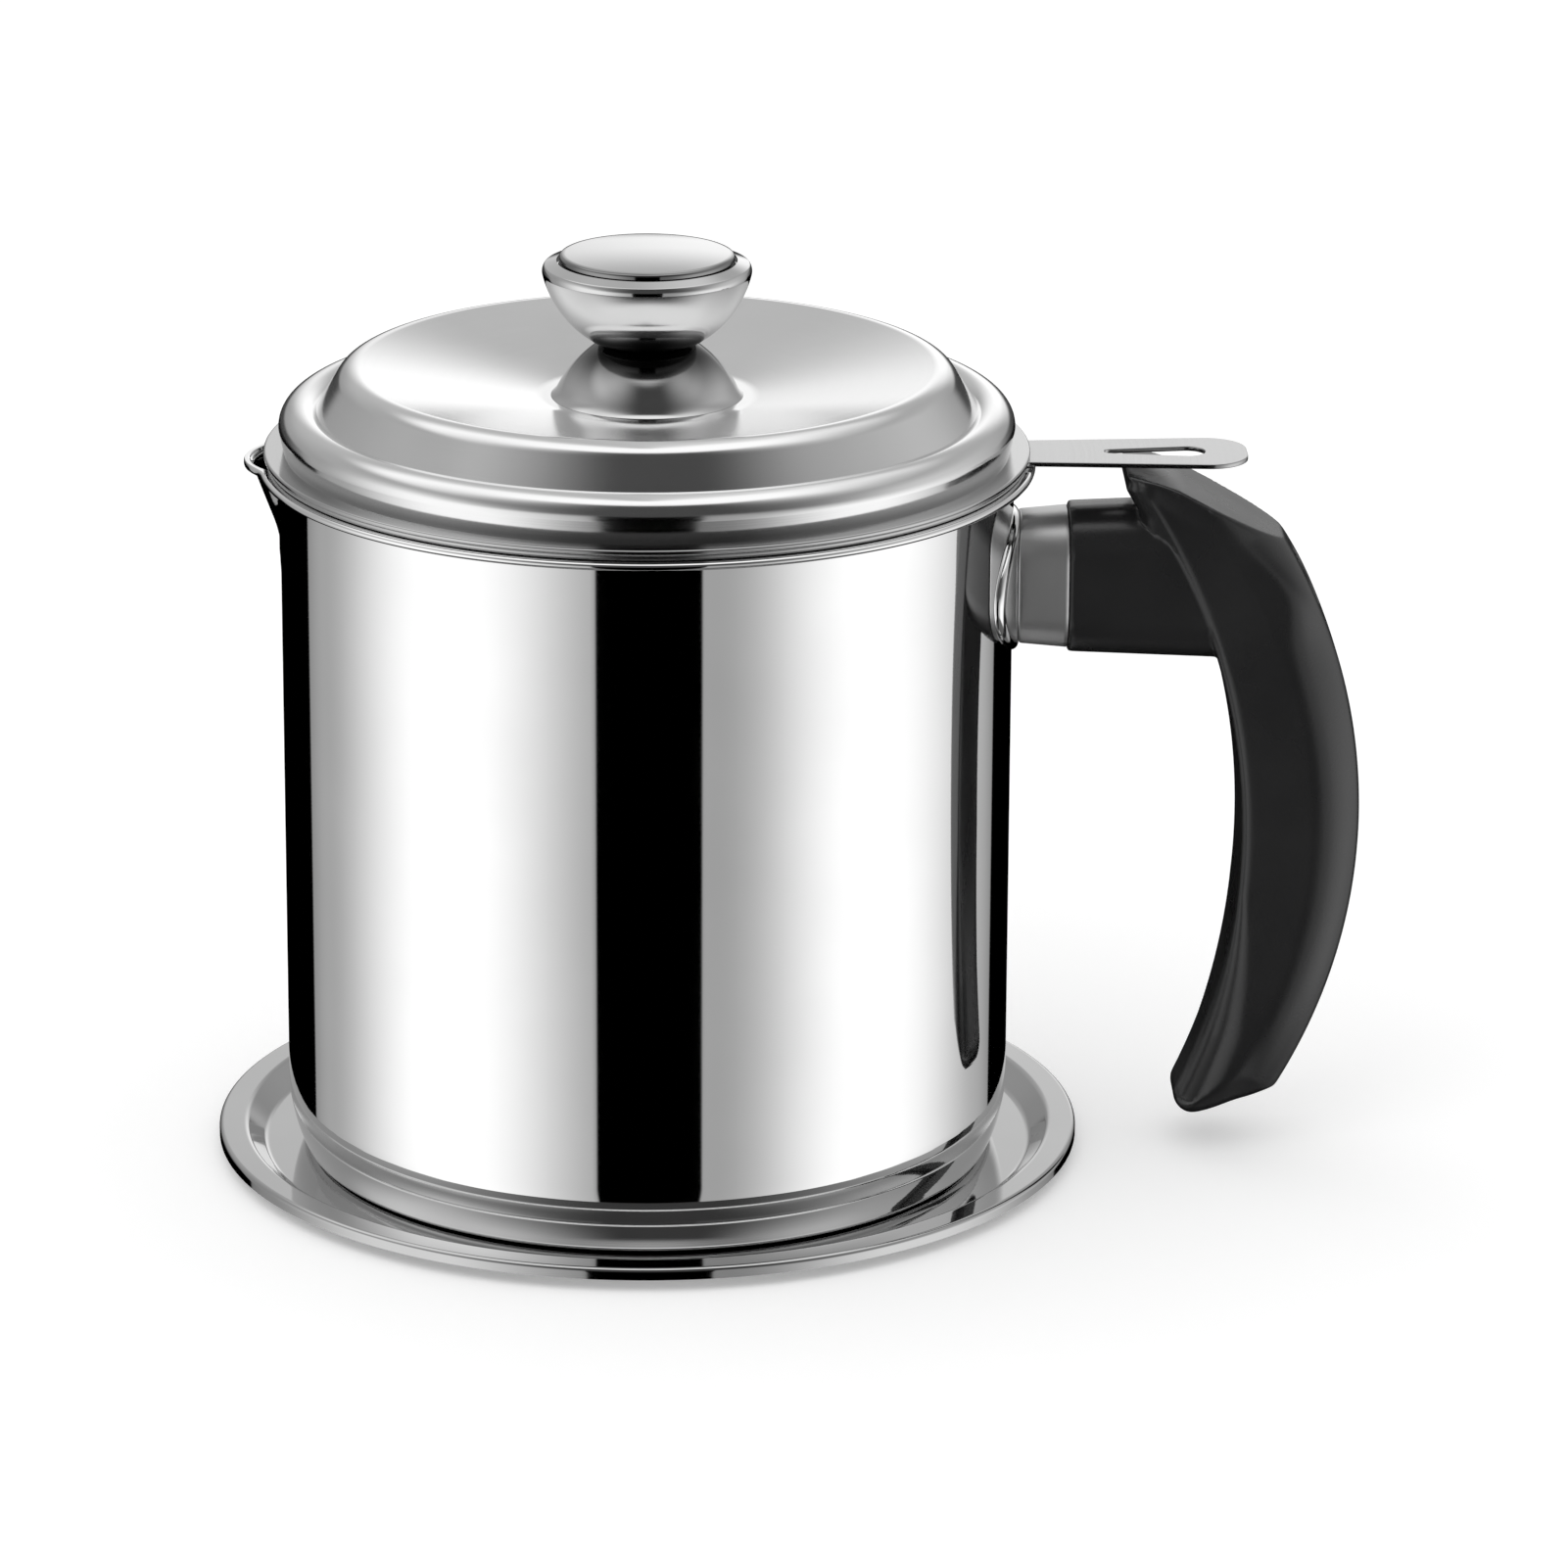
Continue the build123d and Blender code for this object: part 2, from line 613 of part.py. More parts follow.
with BuildPart() as handle_grip:
    with BuildSketch(side_plane(back_centre, back_start)) as back_section:
        with BuildLine():
            Polyline(
                (flare_radius, arm_width / 2),
                (ridge_radius, back_width / 2),
                (back_radius, back_width / 2),
                (back_radius, -back_width / 2),
                (ridge_radius, -back_width / 2),
                (flare_radius, -arm_width / 2),
                close=True,
            )
        make_face()
        fillet(back_section.vertices().group_by(Axis.X)[-1], radius=back_round)
    revolve(
        axis=Axis((back_centre.X, 0, back_centre.Y), (0, 1, 0)),
        revolution_arc=degrees(back_start - back_end),
    )
    with BuildSketch(side_plane(finger_centre, web_start)) as web_section:
        with Locations((finger_radius, 0)):
            Rectangle(web_depth, arm_width, align=(Align.MIN, Align.CENTER))
        fillet(web_section.vertices().group_by(Axis.X)[0], radius=web_round)
    revolve(
        axis=Axis((finger_centre.X, 0, finger_centre.Y), (0, 1, 0)),
        revolution_arc=degrees(web_start - web_end),
    )
    with BuildSketch(pad_plane(flat_x, pad_z, pad_slope)) as thumb_face:
        with Locations((nose_x - flat_x, 0)):
            Rectangle(pad_length, pad_width, align=(Align.MIN, Align.CENTER))
        fillet(thumb_face.vertices().group_by(Axis.X)[0], radius=pad_corner)
    foot_plane = pad_plane(nose_x, pad_z - pad_side_depth, pad_foot_slope)
    with BuildSketch(foot_plane) as pad_foot:
        Rectangle(pad_length, arm_width, align=(Align.MIN, Align.CENTER))
        fillet(pad_foot.vertices().group_by(Axis.X)[0], radius=pad_corner)
    loft()
    with BuildSketch(foot_plane):
        Rectangle(pad_length, arm_width, align=(Align.MIN, Align.CENTER))
    extrude(amount=-pad_root_depth)
    with BuildSketch(Plane.XZ) as side_outline:
        with BuildLine():
            Polyline(
                corner,
                (neck_x, handle_z),
                (neck_x, arm_top_z),
                (nose_x, pad_z - pad_nose_height),
                (nose_x + pad_nose_lean, pad_z),
                (flat_x, pad_z),
                heel,
            )
            ThreePointArc(heel, back_middle, tip_back)
            Line(tip_back, tip_front)
            ThreePointArc(tip_front, finger_middle, corner)
        make_face()
        fillet(side_outline.vertices().sort_by(Axis.Y)[1], radius=tip_back_round)
        fillet(side_outline.vertices().sort_by(Axis.Y)[0], radius=tip_round)
    extrude(amount=pad_width, both=True, mode=Mode.INTERSECT)
    with BuildSketch(Plane.YZ.offset(arm_start)):
        with Locations((0, handle_z)):
            RectangleRounded(arm_width, arm_height, arm_corner)
    with BuildSketch(Plane.YZ.offset(finger_x)):
        with Locations((0, handle_z)):
            RectangleRounded(arm_width, arm_height + arm_growth, arm_corner)
    loft()
    with BuildSketch(Plane.YZ.offset(arm_start)):
        with Locations((0, handle_z)):
            Circle(boss_radius + boss_clearance)
    extrude(amount=boss_end + boss_clearance - arm_start, mode=Mode.SUBTRACT)
    with BuildSketch(Plane.YZ.offset(arm_start)):
        with Locations((0, handle_z)):
            Circle(handle_screw_radius + screw_clearance)
    extrude(amount=head_depth, mode=Mode.SUBTRACT)
    with BuildSketch(Plane.YZ.offset(arm_start + head_depth)):
        with Locations((0, handle_z)):
            Circle(handle_washer_radius + counterbore_clearance)
    extrude(amount=back_x - arm_start - head_depth, mode=Mode.SUBTRACT)
keep(handle_grip.part, "handle_grip")

# ---- handle screw, from the back of the grip into the bracket's boss ------------
washer_x = arm_start + head_depth + weld_gap
head_x = washer_x + handle_washer_thickness + weld_gap
thread_start = thread_end + weld_gap

with BuildPart() as handle_screw_washer:
    with BuildSketch(Plane.YZ.offset(washer_x)):
        with Locations((0, handle_z)):
            Circle(handle_washer_radius)
            Circle(handle_screw_radius + screw_clearance, mode=Mode.SUBTRACT)
    extrude(amount=handle_washer_thickness)
keep(handle_screw_washer.part, "handle_screw_washer")

with BuildPart() as handle_screw:
    with BuildSketch(Plane.YZ.offset(head_x)):
        with Locations((0, handle_z)):
            Circle(handle_head_radius)
    extrude(amount=handle_head_height)
    fillet(handle_screw.edges().group_by(Axis.X)[-1], radius=handle_head_round)
    with BuildSketch(Plane.YZ.offset(thread_start)):
        with Locations((0, handle_z)):
            Circle(handle_screw_radius)
    extrude(amount=head_x - thread_start)
    with BuildSketch(Plane.YZ.offset(head_x + handle_head_height)):
        with Locations((0, handle_z)):
            Rectangle(drive_length, drive_width)
            Rectangle(drive_width, drive_length)
    extrude(amount=-drive_depth, mode=Mode.SUBTRACT)
keep(handle_screw.part, "handle_screw")
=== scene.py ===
from math import acos, asin, atan2, cos, degrees, hypot, pi, radians, sin, sqrt, tan
from types import SimpleNamespace as Sizes

import bmesh
import bpy
import numpy as np
from mathutils import Matrix, Vector


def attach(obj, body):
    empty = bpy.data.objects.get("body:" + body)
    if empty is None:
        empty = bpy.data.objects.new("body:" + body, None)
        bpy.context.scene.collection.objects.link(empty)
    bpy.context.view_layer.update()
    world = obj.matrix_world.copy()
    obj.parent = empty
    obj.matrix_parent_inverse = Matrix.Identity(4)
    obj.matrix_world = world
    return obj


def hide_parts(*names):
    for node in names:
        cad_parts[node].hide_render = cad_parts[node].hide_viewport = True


mm = 0.001  # sizes below are in millimetres, meshes are in metres
tiny = 1e-6  # less than any real size, in millimetres
armAxis = 97.7  # height of the arm's middle, for bracket, guard, grip and screw
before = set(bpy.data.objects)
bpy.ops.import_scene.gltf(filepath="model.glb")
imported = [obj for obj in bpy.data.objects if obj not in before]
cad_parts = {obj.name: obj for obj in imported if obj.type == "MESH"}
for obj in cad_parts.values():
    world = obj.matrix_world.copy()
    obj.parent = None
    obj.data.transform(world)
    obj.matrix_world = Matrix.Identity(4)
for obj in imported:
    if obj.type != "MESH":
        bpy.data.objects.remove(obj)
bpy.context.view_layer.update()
scene = bpy.context.scene
scene.view_settings.view_transform = "Standard"


def newObject(name, data):
    thing = bpy.data.objects.new(name, data)
    scene.collection.objects.link(thing)
    return thing


camera = {
    "focal": 7695,  # in pixels of the image
    "imageWidth": 1601,
    "sensor": 36,
    "distance": 1189.7,  # in front of the pot's axis
    "height": 444.2,
    "tiltDown": 17.82,  # degrees, as the next two
    "panRight": 1.09,
    "roll": 0.287,
}


def makeCamera(c):
    pitch, pan, roll = (radians(v) for v in (c.tiltDown, c.panRight, c.roll))
    level = cos(pitch)
    forward = Vector((sin(pan) * level, cos(pan) * level, -sin(pitch)))
    right = Vector((cos(pan), -sin(pan), 0))
    up = right.cross(forward)
    across = right * cos(roll) + up * sin(roll)
    upright = up * cos(roll) - right * sin(roll)
    data = bpy.data.cameras.new("camera")
    data.sensor_width = c.sensor
    data.sensor_fit = "HORIZONTAL"
    data.lens = c.focal / c.imageWidth * c.sensor
    data.clip_start, data.clip_end = 0.1, 20
    cam = newObject("camera", data)
    place = Matrix((across, upright, -forward)).transposed().to_4x4()
    place.translation = Vector((0, -c.distance, c.height)) * mm
    cam.matrix_world = place
    scene.camera = cam


makeCamera(Sizes(**camera))
print("camera ready")


class Nodes:  # short calls that build a tree; a node given as a value stands for its first output

    def __init__(self, tree):
        self.tree = tree
        tree.nodes.clear()

    def add(self, kind, inputs=None, **settings):
        node = self.tree.nodes.new(kind)
        for key, value in settings.items():
            setattr(node, key, value)
        for key, value in (inputs or {}).items():
            self.plug(node.inputs[key], value)
        return node

    def plug(self, socket, value):
        if isinstance(value, bpy.types.Node):
            value = value.outputs[0]
        if isinstance(value, bpy.types.NodeSocket):
            self.tree.links.new(value, socket)
        elif value is not None:
            socket.default_value = value

    def math(self, operation, a, b=None, c=None):
        return self.add("ShaderNodeMath", {0: a, 1: b, 2: c}, operation=operation).outputs[0]

    def times(self, a, b):
        return self.math("MULTIPLY", a, b)

    def reach(self, x, y):  # distance from the Z axis
        return self.math("SQRT", self.math("ADD", self.times(x, x), self.times(y, y)))

    def vector(self, x=None, y=None, z=None):
        return self.add("ShaderNodeCombineXYZ", {0: x, 1: y, 2: z}).outputs[0]

    def split(self, vector):
        return self.add("ShaderNodeSeparateXYZ", {0: vector}).outputs

    def range(self, value, fromLow, fromHigh, toLow, toHigh, smooth=False):
        inputs = {
            "Value": value, "From Min": fromLow, "From Max": fromHigh, "To Min": toLow, "To Max": toHigh}
        kind = "SMOOTHSTEP" if smooth else "LINEAR"
        return self.add("ShaderNodeMapRange", inputs, interpolation_type=kind).outputs["Result"]

    def ramp(self, value, stops):
        node = self.add("ShaderNodeValToRGB", {"Fac": value})
        elements = node.color_ramp.elements
        while len(elements) < len(stops):
            elements.new(0.5)
        for element, (position, grey) in zip(elements, stops):
            element.position = position
            element.color = (grey, grey, grey, 1)
        return node.outputs["Color"]

    def mix(self, factor, a, b):
        return self.add("ShaderNodeMix", {0: factor, 2: a, 3: b}, data_type="FLOAT").outputs[0]

    def noise(self, coordinates, scale, detail):
        inputs = {"Vector": coordinates, "Scale": scale, "Detail": detail}
        return self.add("ShaderNodeTexNoise", inputs).outputs["Fac"]


def newMaterial(name):
    material = bpy.data.materials.new(name)
    material.use_nodes = True
    return material, Nodes(material.node_tree)


studio = {
    "diffuseLevel": 0.9,
    "lampPower": 1.2,
    "lampSize": 0.8,  # metres, as the places below
    "lampPlace": (-0.5, -0.7, 1.1),
    "lampAim": (0, 0, 0.06),
    "floorGrey": 0.9,
    "floorGlow": 0.25,  # to the camera only, so the floor stays pale
    "floorHalf": 6.0,
    "floorDrop": 0.0002,  # under the tray
}

# the bare room as polished metal sees it, grey by elevation in degrees
room = [
    (-90, 0.1), (-42, 0.14), (-30, 0.3), (0, 0.34), (20, 0.44),
    (36, 0.46), (48, 0.62), (58, 0.9), (68, 1.2),
]

# boxes and flags in it, each laid over those before: the azimuth it faces from (0 in front, left is
# negative), its width, how softly its sides fade, its low and high edge, each with its own fade, and
# its grey, all angles in degrees
boxes = {
    "backCeiling": {"facing": -152, "width": 120, "fade": 80, "low": (40, 14), "grey": 1.15},
    "backGlow": {"facing": -172, "width": 44, "fade": 46, "low": (16, 14), "grey": 0.55},
    "leftWing": {"facing": -75, "width": 116, "fade": 1.5, "low": (-36, 8), "high": (8, 24), "grey": 0.4},
    "rightWing": {"facing": 79, "width": 124, "fade": 1.5, "low": (-35, 8), "high": (8, 24), "grey": 0.38},
    "leftBox": {"facing": -65, "width": 64, "fade": 50, "low": (-40, 6), "high": (18, 32), "grey": 1.15},
    "rightSide": {"facing": 94, "width": 66, "fade": 60, "low": (-20, 20), "high": (24, 24), "grey": 0.68},
    "rightBox": {"facing": 76, "width": 60, "fade": 50, "low": (-38, 8), "high": (-2, 26), "grey": 1.15},
    "frontShade": {"facing": 6, "width": 106, "fade": 74, "low": (9, 16), "high": (66, 10), "grey": 0.07},
    "frontFlag": {"facing": 0.5, "width": 33, "fade": 1, "high": (12, 12), "grey": 0.0},
    "backShade": {"facing": -176, "width": 80, "fade": 30, "high": (1, 5), "grey": 0.06},
    "backFlag": {"facing": -176, "width": 85.6, "fade": 1, "high": (-9, 6), "grey": 0.0},
    "backWindow": {"facing": 174, "width": 24, "fade": 22, "low": (3, 6), "high": (20, 16), "grey": 1.25},
}


def makeWorld(s):
    world = bpy.data.worlds.new("studio")
    scene.world = world
    world.use_nodes = True
    world.cycles.sampling_method = "NONE"  # metal then meets the boxes only as glossy rays
    n = Nodes(world.node_tree)
    x, y, z = n.split(n.add("ShaderNodeTexCoord").outputs["Generated"])
    azimuth = n.math("DEGREES", n.math("ARCTAN2", x, n.times(y, -1)))
    elevation = n.math("DEGREES", n.math("ARCSINE", z))
    glossy = n.ramp(n.range(elevation, -90, 90, 0, 1), [((e + 90) / 180, grey) for e, grey in room])
    for box in boxes.values():
        side = n.math("ABSOLUTE", n.math("WRAP", n.math("SUBTRACT", azimuth, box["facing"]), 180, -180))
        half, fade = box["width"] / 2, box["fade"] / 2
        cover = n.range(side, half - fade, half + fade, 1, 0, True)
        for edge, below, above in ((box.get("low"), 0, 1), (box.get("high"), 1, 0)):
            if edge:
                at, soft = edge[0], edge[1] / 2
                cover = n.times(cover, n.range(elevation, at - soft, at + soft, below, above, True))
        glossy = n.mix(cover, glossy, box["grey"])
    path = n.add("ShaderNodeLightPath").outputs
    lit = n.mix(path["Is Glossy Ray"], s.diffuseLevel, glossy)
    level = n.mix(path["Is Camera Ray"], lit, 1.0)
    out = n.add("ShaderNodeBackground", {"Color": level, "Strength": 1.0})
    n.add("ShaderNodeOutputWorld", {"Surface": out})


def makeLamp(s):
    data = bpy.data.lights.new("keyLamp", "AREA")
    data.energy = s.lampPower
    data.size = s.lampSize
    lamp = newObject("keyLamp", data)
    lamp.location = s.lampPlace
    lamp.rotation_euler = (Vector(s.lampAim) - lamp.location).to_track_quat("-Z", "Y").to_euler()
    lamp.visible_glossy = False


def makeFloor(s):
    mesh = bpy.data.meshes.new("floor")
    half = s.floorHalf
    corners = [(-half, -half, 0), (half, -half, 0), (half, half, 0), (-half, half, 0)]
    mesh.from_pydata(corners, [], [(0, 1, 2, 3)])
    floor = newObject("floor", mesh)
    floor.location.z = -s.floorDrop
    floor.visible_glossy = False
    material, n = newMaterial("paleFloor")
    toCamera = n.add("ShaderNodeLightPath").outputs["Is Camera Ray"]
    matte = n.add("ShaderNodeBsdfDiffuse", {"Color": (s.floorGrey,) * 3 + (1,)})
    glow = n.times(toCamera, s.floorGlow)
    glow = n.add("ShaderNodeEmission", {"Color": (1, 1, 1, 1), "Strength": glow})
    both = n.add("ShaderNodeAddShader", {0: matte, 1: glow})
    n.add("ShaderNodeOutputMaterial", {"Surface": both})
    mesh.materials.append(material)


makeWorld(Sizes(**studio))
makeLamp(Sizes(**studio))
makeFloor(Sizes(**studio))
print("studio ready")

noiseSpan = (0.3, 0.7)  # nearly all of a noise lies in it
bumpDepth = 0.0001  # metres

polish = {
    "lineScale": 2600,  # of the fine turned lines
    "lineDetail": 3.0,
    "lineBump": 0.02,
    "cloudScale": 38.0,
    "cloudDetail": 4.0,
    "cloudShade": (0.97, 1.02),
}

plastic = {
    "grey": 0.015, "blue": 1.03, "roughness": 0.28, "specular": 0.7,
    "grainScale": 2200.0, "grainDetail": 2.0, "grainBump": 0.15,
    "cloudScale": 60.0, "cloudDetail": 3.0, "cloudShade": (0.92, 1.08), "cloudWear": 0.03,
}


def polishedSteel(name, grey, roughness, spin, smear, tint=(1.0, 1.0, 1.0), paintedShade=None):
    # the turned lines change the roughness by spin, and the cloud by smear
    p = Sizes(**polish)
    material, n = newMaterial(name)
    coordinates = n.add("ShaderNodeTexCoord").outputs["Object"]
    x, y, z = n.split(coordinates)
    across = n.vector(n.times(n.reach(x, y), p.lineScale), n.times(z, p.lineScale))
    lines = n.noise(across, 1.0, p.lineDetail)
    cloud = n.noise(coordinates, p.cloudScale, p.cloudDetail)
    shade = n.range(cloud, *noiseSpan, *p.cloudShade)
    if paintedShade:  # painted shade: the colour darkens from the second height to the first, down to the share given last, where the parts around shade the steel
        low, high, least = paintedShade
        shade = n.times(shade, n.range(z, low * mm, high * mm, least, 1, True))
    colour = n.add("ShaderNodeCombineColor", {i: n.times(shade, grey * tint[i]) for i in range(3)})
    wear = n.math("ADD", n.range(cloud, *noiseSpan, -smear, smear), n.range(lines, *noiseSpan, -spin, spin))
    rough = n.math("ADD", roughness, wear)
    bump = n.add("ShaderNodeBump", {"Height": lines, "Strength": p.lineBump, "Distance": bumpDepth})
    shader = n.add("ShaderNodeBsdfPrincipled", {
        "Base Color": colour, "Metallic": 1.0, "Roughness": rough, "Normal": bump})
    n.add("ShaderNodeOutputMaterial", {"Surface": shader})
    return material


def mouldedBlack(name, p):
    material, n = newMaterial(name)
    coordinates = n.add("ShaderNodeTexCoord").outputs["Object"]
    grain = n.noise(coordinates, p.grainScale, p.grainDetail)
    cloud = n.noise(coordinates, p.cloudScale, p.cloudDetail)
    shade = n.range(cloud, *noiseSpan, *(p.grey * share for share in p.cloudShade))
    colour = n.add("ShaderNodeCombineColor", {0: shade, 1: shade, 2: n.times(shade, p.blue)})
    wear = n.range(cloud, *noiseSpan, -p.cloudWear, p.cloudWear)
    rough = n.math("ADD", p.roughness, wear)
    bump = n.add("ShaderNodeBump", {"Height": grain, "Strength": p.grainBump, "Distance": bumpDepth})
    shader = n.add("ShaderNodeBsdfPrincipled", {
        "Base Color": colour, "Roughness": rough, "Normal": bump, "Specular IOR Level": p.specular})
    n.add("ShaderNodeOutputMaterial", {"Surface": shader})
    return material


# each with its grey, roughness, spin and smear
mirrorSteel = polishedSteel("mirrorSteel", 0.9, 0.03, 0.01, 0.01)
traySteel = polishedSteel("traySteel", 0.55, 0.05, 0.01, 0.01)
brightSteel = polishedSteel("brightSteel", 0.88, 0.07, 0.02, 0.02)
zincSteel = polishedSteel("zincSteel", 0.62, 0.28, 0.04, 0.05)
turnedBrass = polishedSteel("turnedBrass", 0.8, 0.22, 0.05, 0.03, (0.93, 0.73, 0.38))
gripPlastic = mouldedBlack("gripPlastic", Sizes(**plastic))
print("materials ready")


def arc(centre, radius, start, end, steps):
    angles = np.radians(np.linspace(start, end, steps + 1))
    return [(centre[0] + radius * cos(a), centre[1] + radius * sin(a)) for a in angles]


def roundedPath(points, radii, steps):  # one radius for each inner point
    path = [points[0]]
    for before, corner, after, radius in zip(points, points[1:], points[2:], radii):
        if radius <= 0:
            path.append(corner)
            continue
        a, c, b = np.array([before, corner, after], float)
        a, b = (a - c) / np.linalg.norm(a - c), (b - c) / np.linalg.norm(b - c)
        half = acos(max(-1, min(1, float(a @ b)))) / 2
        start, end = c + a * radius / tan(half), c + b * radius / tan(half)
        middle = c + (a + b) / np.linalg.norm(a + b) * radius / sin(half)
        sweep = pi / 2 - half
        u, v = (start - middle) / radius, (end - middle) / radius
        for t in np.linspace(0, 1, steps + 1):
            p = u * sin((1 - t) * 2 * sweep) + v * sin(t * 2 * sweep)
            path.append(tuple(middle + p / sin(2 * sweep) * radius))
    path.append(points[-1])
    return path


def offsetPath(path, amount):  # moved to its left
    p = np.array(path, float)
    d = np.diff(p, axis=0)
    d /= np.linalg.norm(d, axis=1)[:, None]
    normals = np.stack([-d[:, 1], d[:, 0]], 1)
    mean = np.vstack([normals[:1], normals]) + np.vstack([normals, normals[-1:]])
    mean /= (mean * mean).sum(1)[:, None] / 2
    return [tuple(q) for q in p + mean * amount]


def sheetLoop(path, thickness):  # section of a sheet that lies to the left of the path
    inner = offsetPath(path, thickness)
    bulge = 0.6  # of the rounded edges, against half the sheet

    def cap(a, b):
        a, b = np.array([a, b])
        centre, spoke = (a + b) / 2, (a - b) / 2
        out = np.array([spoke[1], -spoke[0]])
        angles = np.radians([45, 90, 135])
        return [tuple(centre + spoke * cos(t) + out * sin(t) * bulge) for t in angles]

    return path + cap(path[-1], inner[-1]) + inner[::-1] + cap(inner[0], path[0])


def support(loop):  # adds points to a closed section, close to its corners and along its long runs
    longest, near = 5.0, 0.12
    result = []
    for a, b in zip(loop, loop[1:] + loop[:1]):
        a, b = np.array([a, b], float)
        length = float(np.linalg.norm(b - a))
        if length < tiny:
            continue
        marks = [0.0]
        if length > 6 * near:
            marks += [near / length, 3 * near / length]
            count = int(length // longest)
            marks += [i / (count + 1) for i in range(1, count + 1)]
            marks += [1 - 3 * near / length, 1 - near / length]
        result += [tuple(a + (b - a) * t) for t in sorted(marks)]
    return result


def meshObject(name, vertices, faces, material, sharp=35):
    mesh = bpy.data.meshes.new(name)
    mesh.from_pydata([tuple(v) for v in vertices], [], faces)
    mesh.materials.append(material)
    mesh.shade_smooth()
    mesh.set_sharp_from_angle(angle=radians(sharp))
    mesh.validate()
    return newObject(name, mesh)


def bridge(low, high, turned=False):  # faces between two rings of vertices, or a ring and one point
    faces = []
    count = max(len(low), len(high))
    for i in range(count):
        j = (i + 1) % count
        if len(low) > 1 and len(high) > 1:
            faces.append((low[i], low[j], high[j], high[i]))
        elif len(low) > 1:
            faces.append((low[i], low[j], high[0]))
        elif len(high) > 1:
            faces.append((low[0], high[j], high[i]))
    return [face[:1] + face[:0:-1] for face in faces] if turned else faces


def lathe(name, loop, material, segments, warp=None):
    # turns a closed section of (radius, height) about Z, anticlockwise with the radius to the right
    area = sum(a[0] * b[1] - b[0] * a[1] for a, b in zip(loop, loop[1:] + loop[:1]))
    if area < 0:
        loop = loop[::-1]
    turn = np.arange(segments) * 2 * pi / segments
    vertices, rings = [], []
    for r, z in loop:
        if r < tiny:
            rings.append([len(vertices)])
            vertices.append((0, 0, z * mm))
            continue
        radius = np.full(segments, r) if warp is None else warp(r, z, turn)
        rings.append(list(range(len(vertices), len(vertices) + segments)))
        vertices += [(q * cos(t) * mm, q * sin(t) * mm, z * mm) for q, t in zip(radius, turn)]
    faces = []
    for low, high in zip(rings, rings[1:] + rings[:1]):
        faces += bridge(low, high)
    return meshObject(name, vertices, faces, material)


def finishPiece(piece, body, nodes):
    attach(piece, body)
    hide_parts(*nodes)


def spinPiece(name, body, node, loop, material, segments, warp=None):
    piece = lathe(name, support(loop), material, segments, warp)
    finishPiece(piece, body, [node])


tray = {
    "sheet": 0.5,
    "floorRadius": 64.0,
    "slopeWidth": 3.2, "lipWidth": 4.6,
    "top": 3.7, "curl": 1.9,
    "bend": 1.2, "edgeBend": 0.7,
    "segments": 320,
}


def makeTray(t):
    floor, top = t.sheet, t.top
    slopeTop = t.floorRadius + t.slopeWidth
    edge = slopeTop + t.lipWidth
    upper = roundedPath(
        [(0, floor), (t.floorRadius, floor), (slopeTop, top), (edge, top), (edge, top - t.curl)],
        [t.bend, t.bend, t.edgeBend], 8)
    loop = sheetLoop(upper[::-1], t.sheet)
    spinPiece("dripTray", "tray", "drip_tray", loop, traySteel, t.segments)


makeTray(Sizes(**tray))

pot = {
    "radius": 60.0,
    "sheet": 0.6,
    "base": 0.6,
    "top": 118.0,
    "lipWidth": 3.5,
    "lipThickness": 0.7,
    "lipBend": 0.9,  # under the lip
    "mouthBend": 1.4,  # inside the mouth
    "lipFlat": 0.6,  # from the edge to the flat top of the lip
    "curlRadius": 0.62, "curlDrop": 0.66, "curlAngles": (-150, 88),
    "footInset": 2.8, "footHeight": 6.9, "footBlend": 25.0, "footEdge": 2.0,
    "cornerShare": 0.82,  # of the sheet, between the foot's outer and inner corner
    "spoutDrop": 13.4, "spoutRoot": 3.0, "spoutMouth": 12.0, "spoutReach": 4.9,
    "spoutLip": 1.0, "spoutBlend": 1.2,
    "spoutInside": 40.0,  # the floor within this radius stays flat
    "spoutBelow": -0.2,  # so far under its root the spout still blends, as a share of its height
    "spoutRings": 22, "ringMargin": 2, "tallRun": 20,
    "segments": 340,
}


def softMax(a, b, blend):
    near = np.clip(1 - np.abs(a - b) / blend, 0, None)
    return np.maximum(a, b) + near * near * blend / 4


def circleReach(turn, centre, radius):
    # how far a circle on the -X side reaches along each direction, or 0 where it is missed
    side = centre * np.sin(turn)
    ahead = -centre * np.cos(turn)
    inside = radius * radius - side * side
    return np.where((inside > 0) & (ahead > 0), ahead + np.sqrt(np.maximum(inside, 0)), 0)


def spoutWarp(p):
    outer = p.radius + p.lipWidth
    lipReach = p.radius + p.spoutReach + p.spoutLip
    lipRadius = p.spoutMouth + p.spoutLip

    def push(turn, base, reach, radius):  # how far a circle pushes a round wall outwards
        circle = circleReach(turn, reach - radius, radius)
        return softMax(np.full(len(turn), base), circle, p.spoutBlend) - base

    def warp(r, z, turn):
        rise = (z - (p.top - p.spoutDrop)) / p.spoutDrop
        if rise < p.spoutBelow or r < p.spoutInside:
            return np.full(len(turn), float(r))
        rise = min(max(rise, 0), 1)
        radius = p.spoutRoot + (p.spoutMouth - p.spoutRoot) * rise
        wall = push(turn, p.radius, p.radius + p.spoutReach * rise, radius)
        lip = push(turn, outer, lipReach, lipRadius)
        share = min(max((r - p.radius) / p.lipWidth, 0), 1)
        return r + wall * (1 - share) + lip * share

    return warp


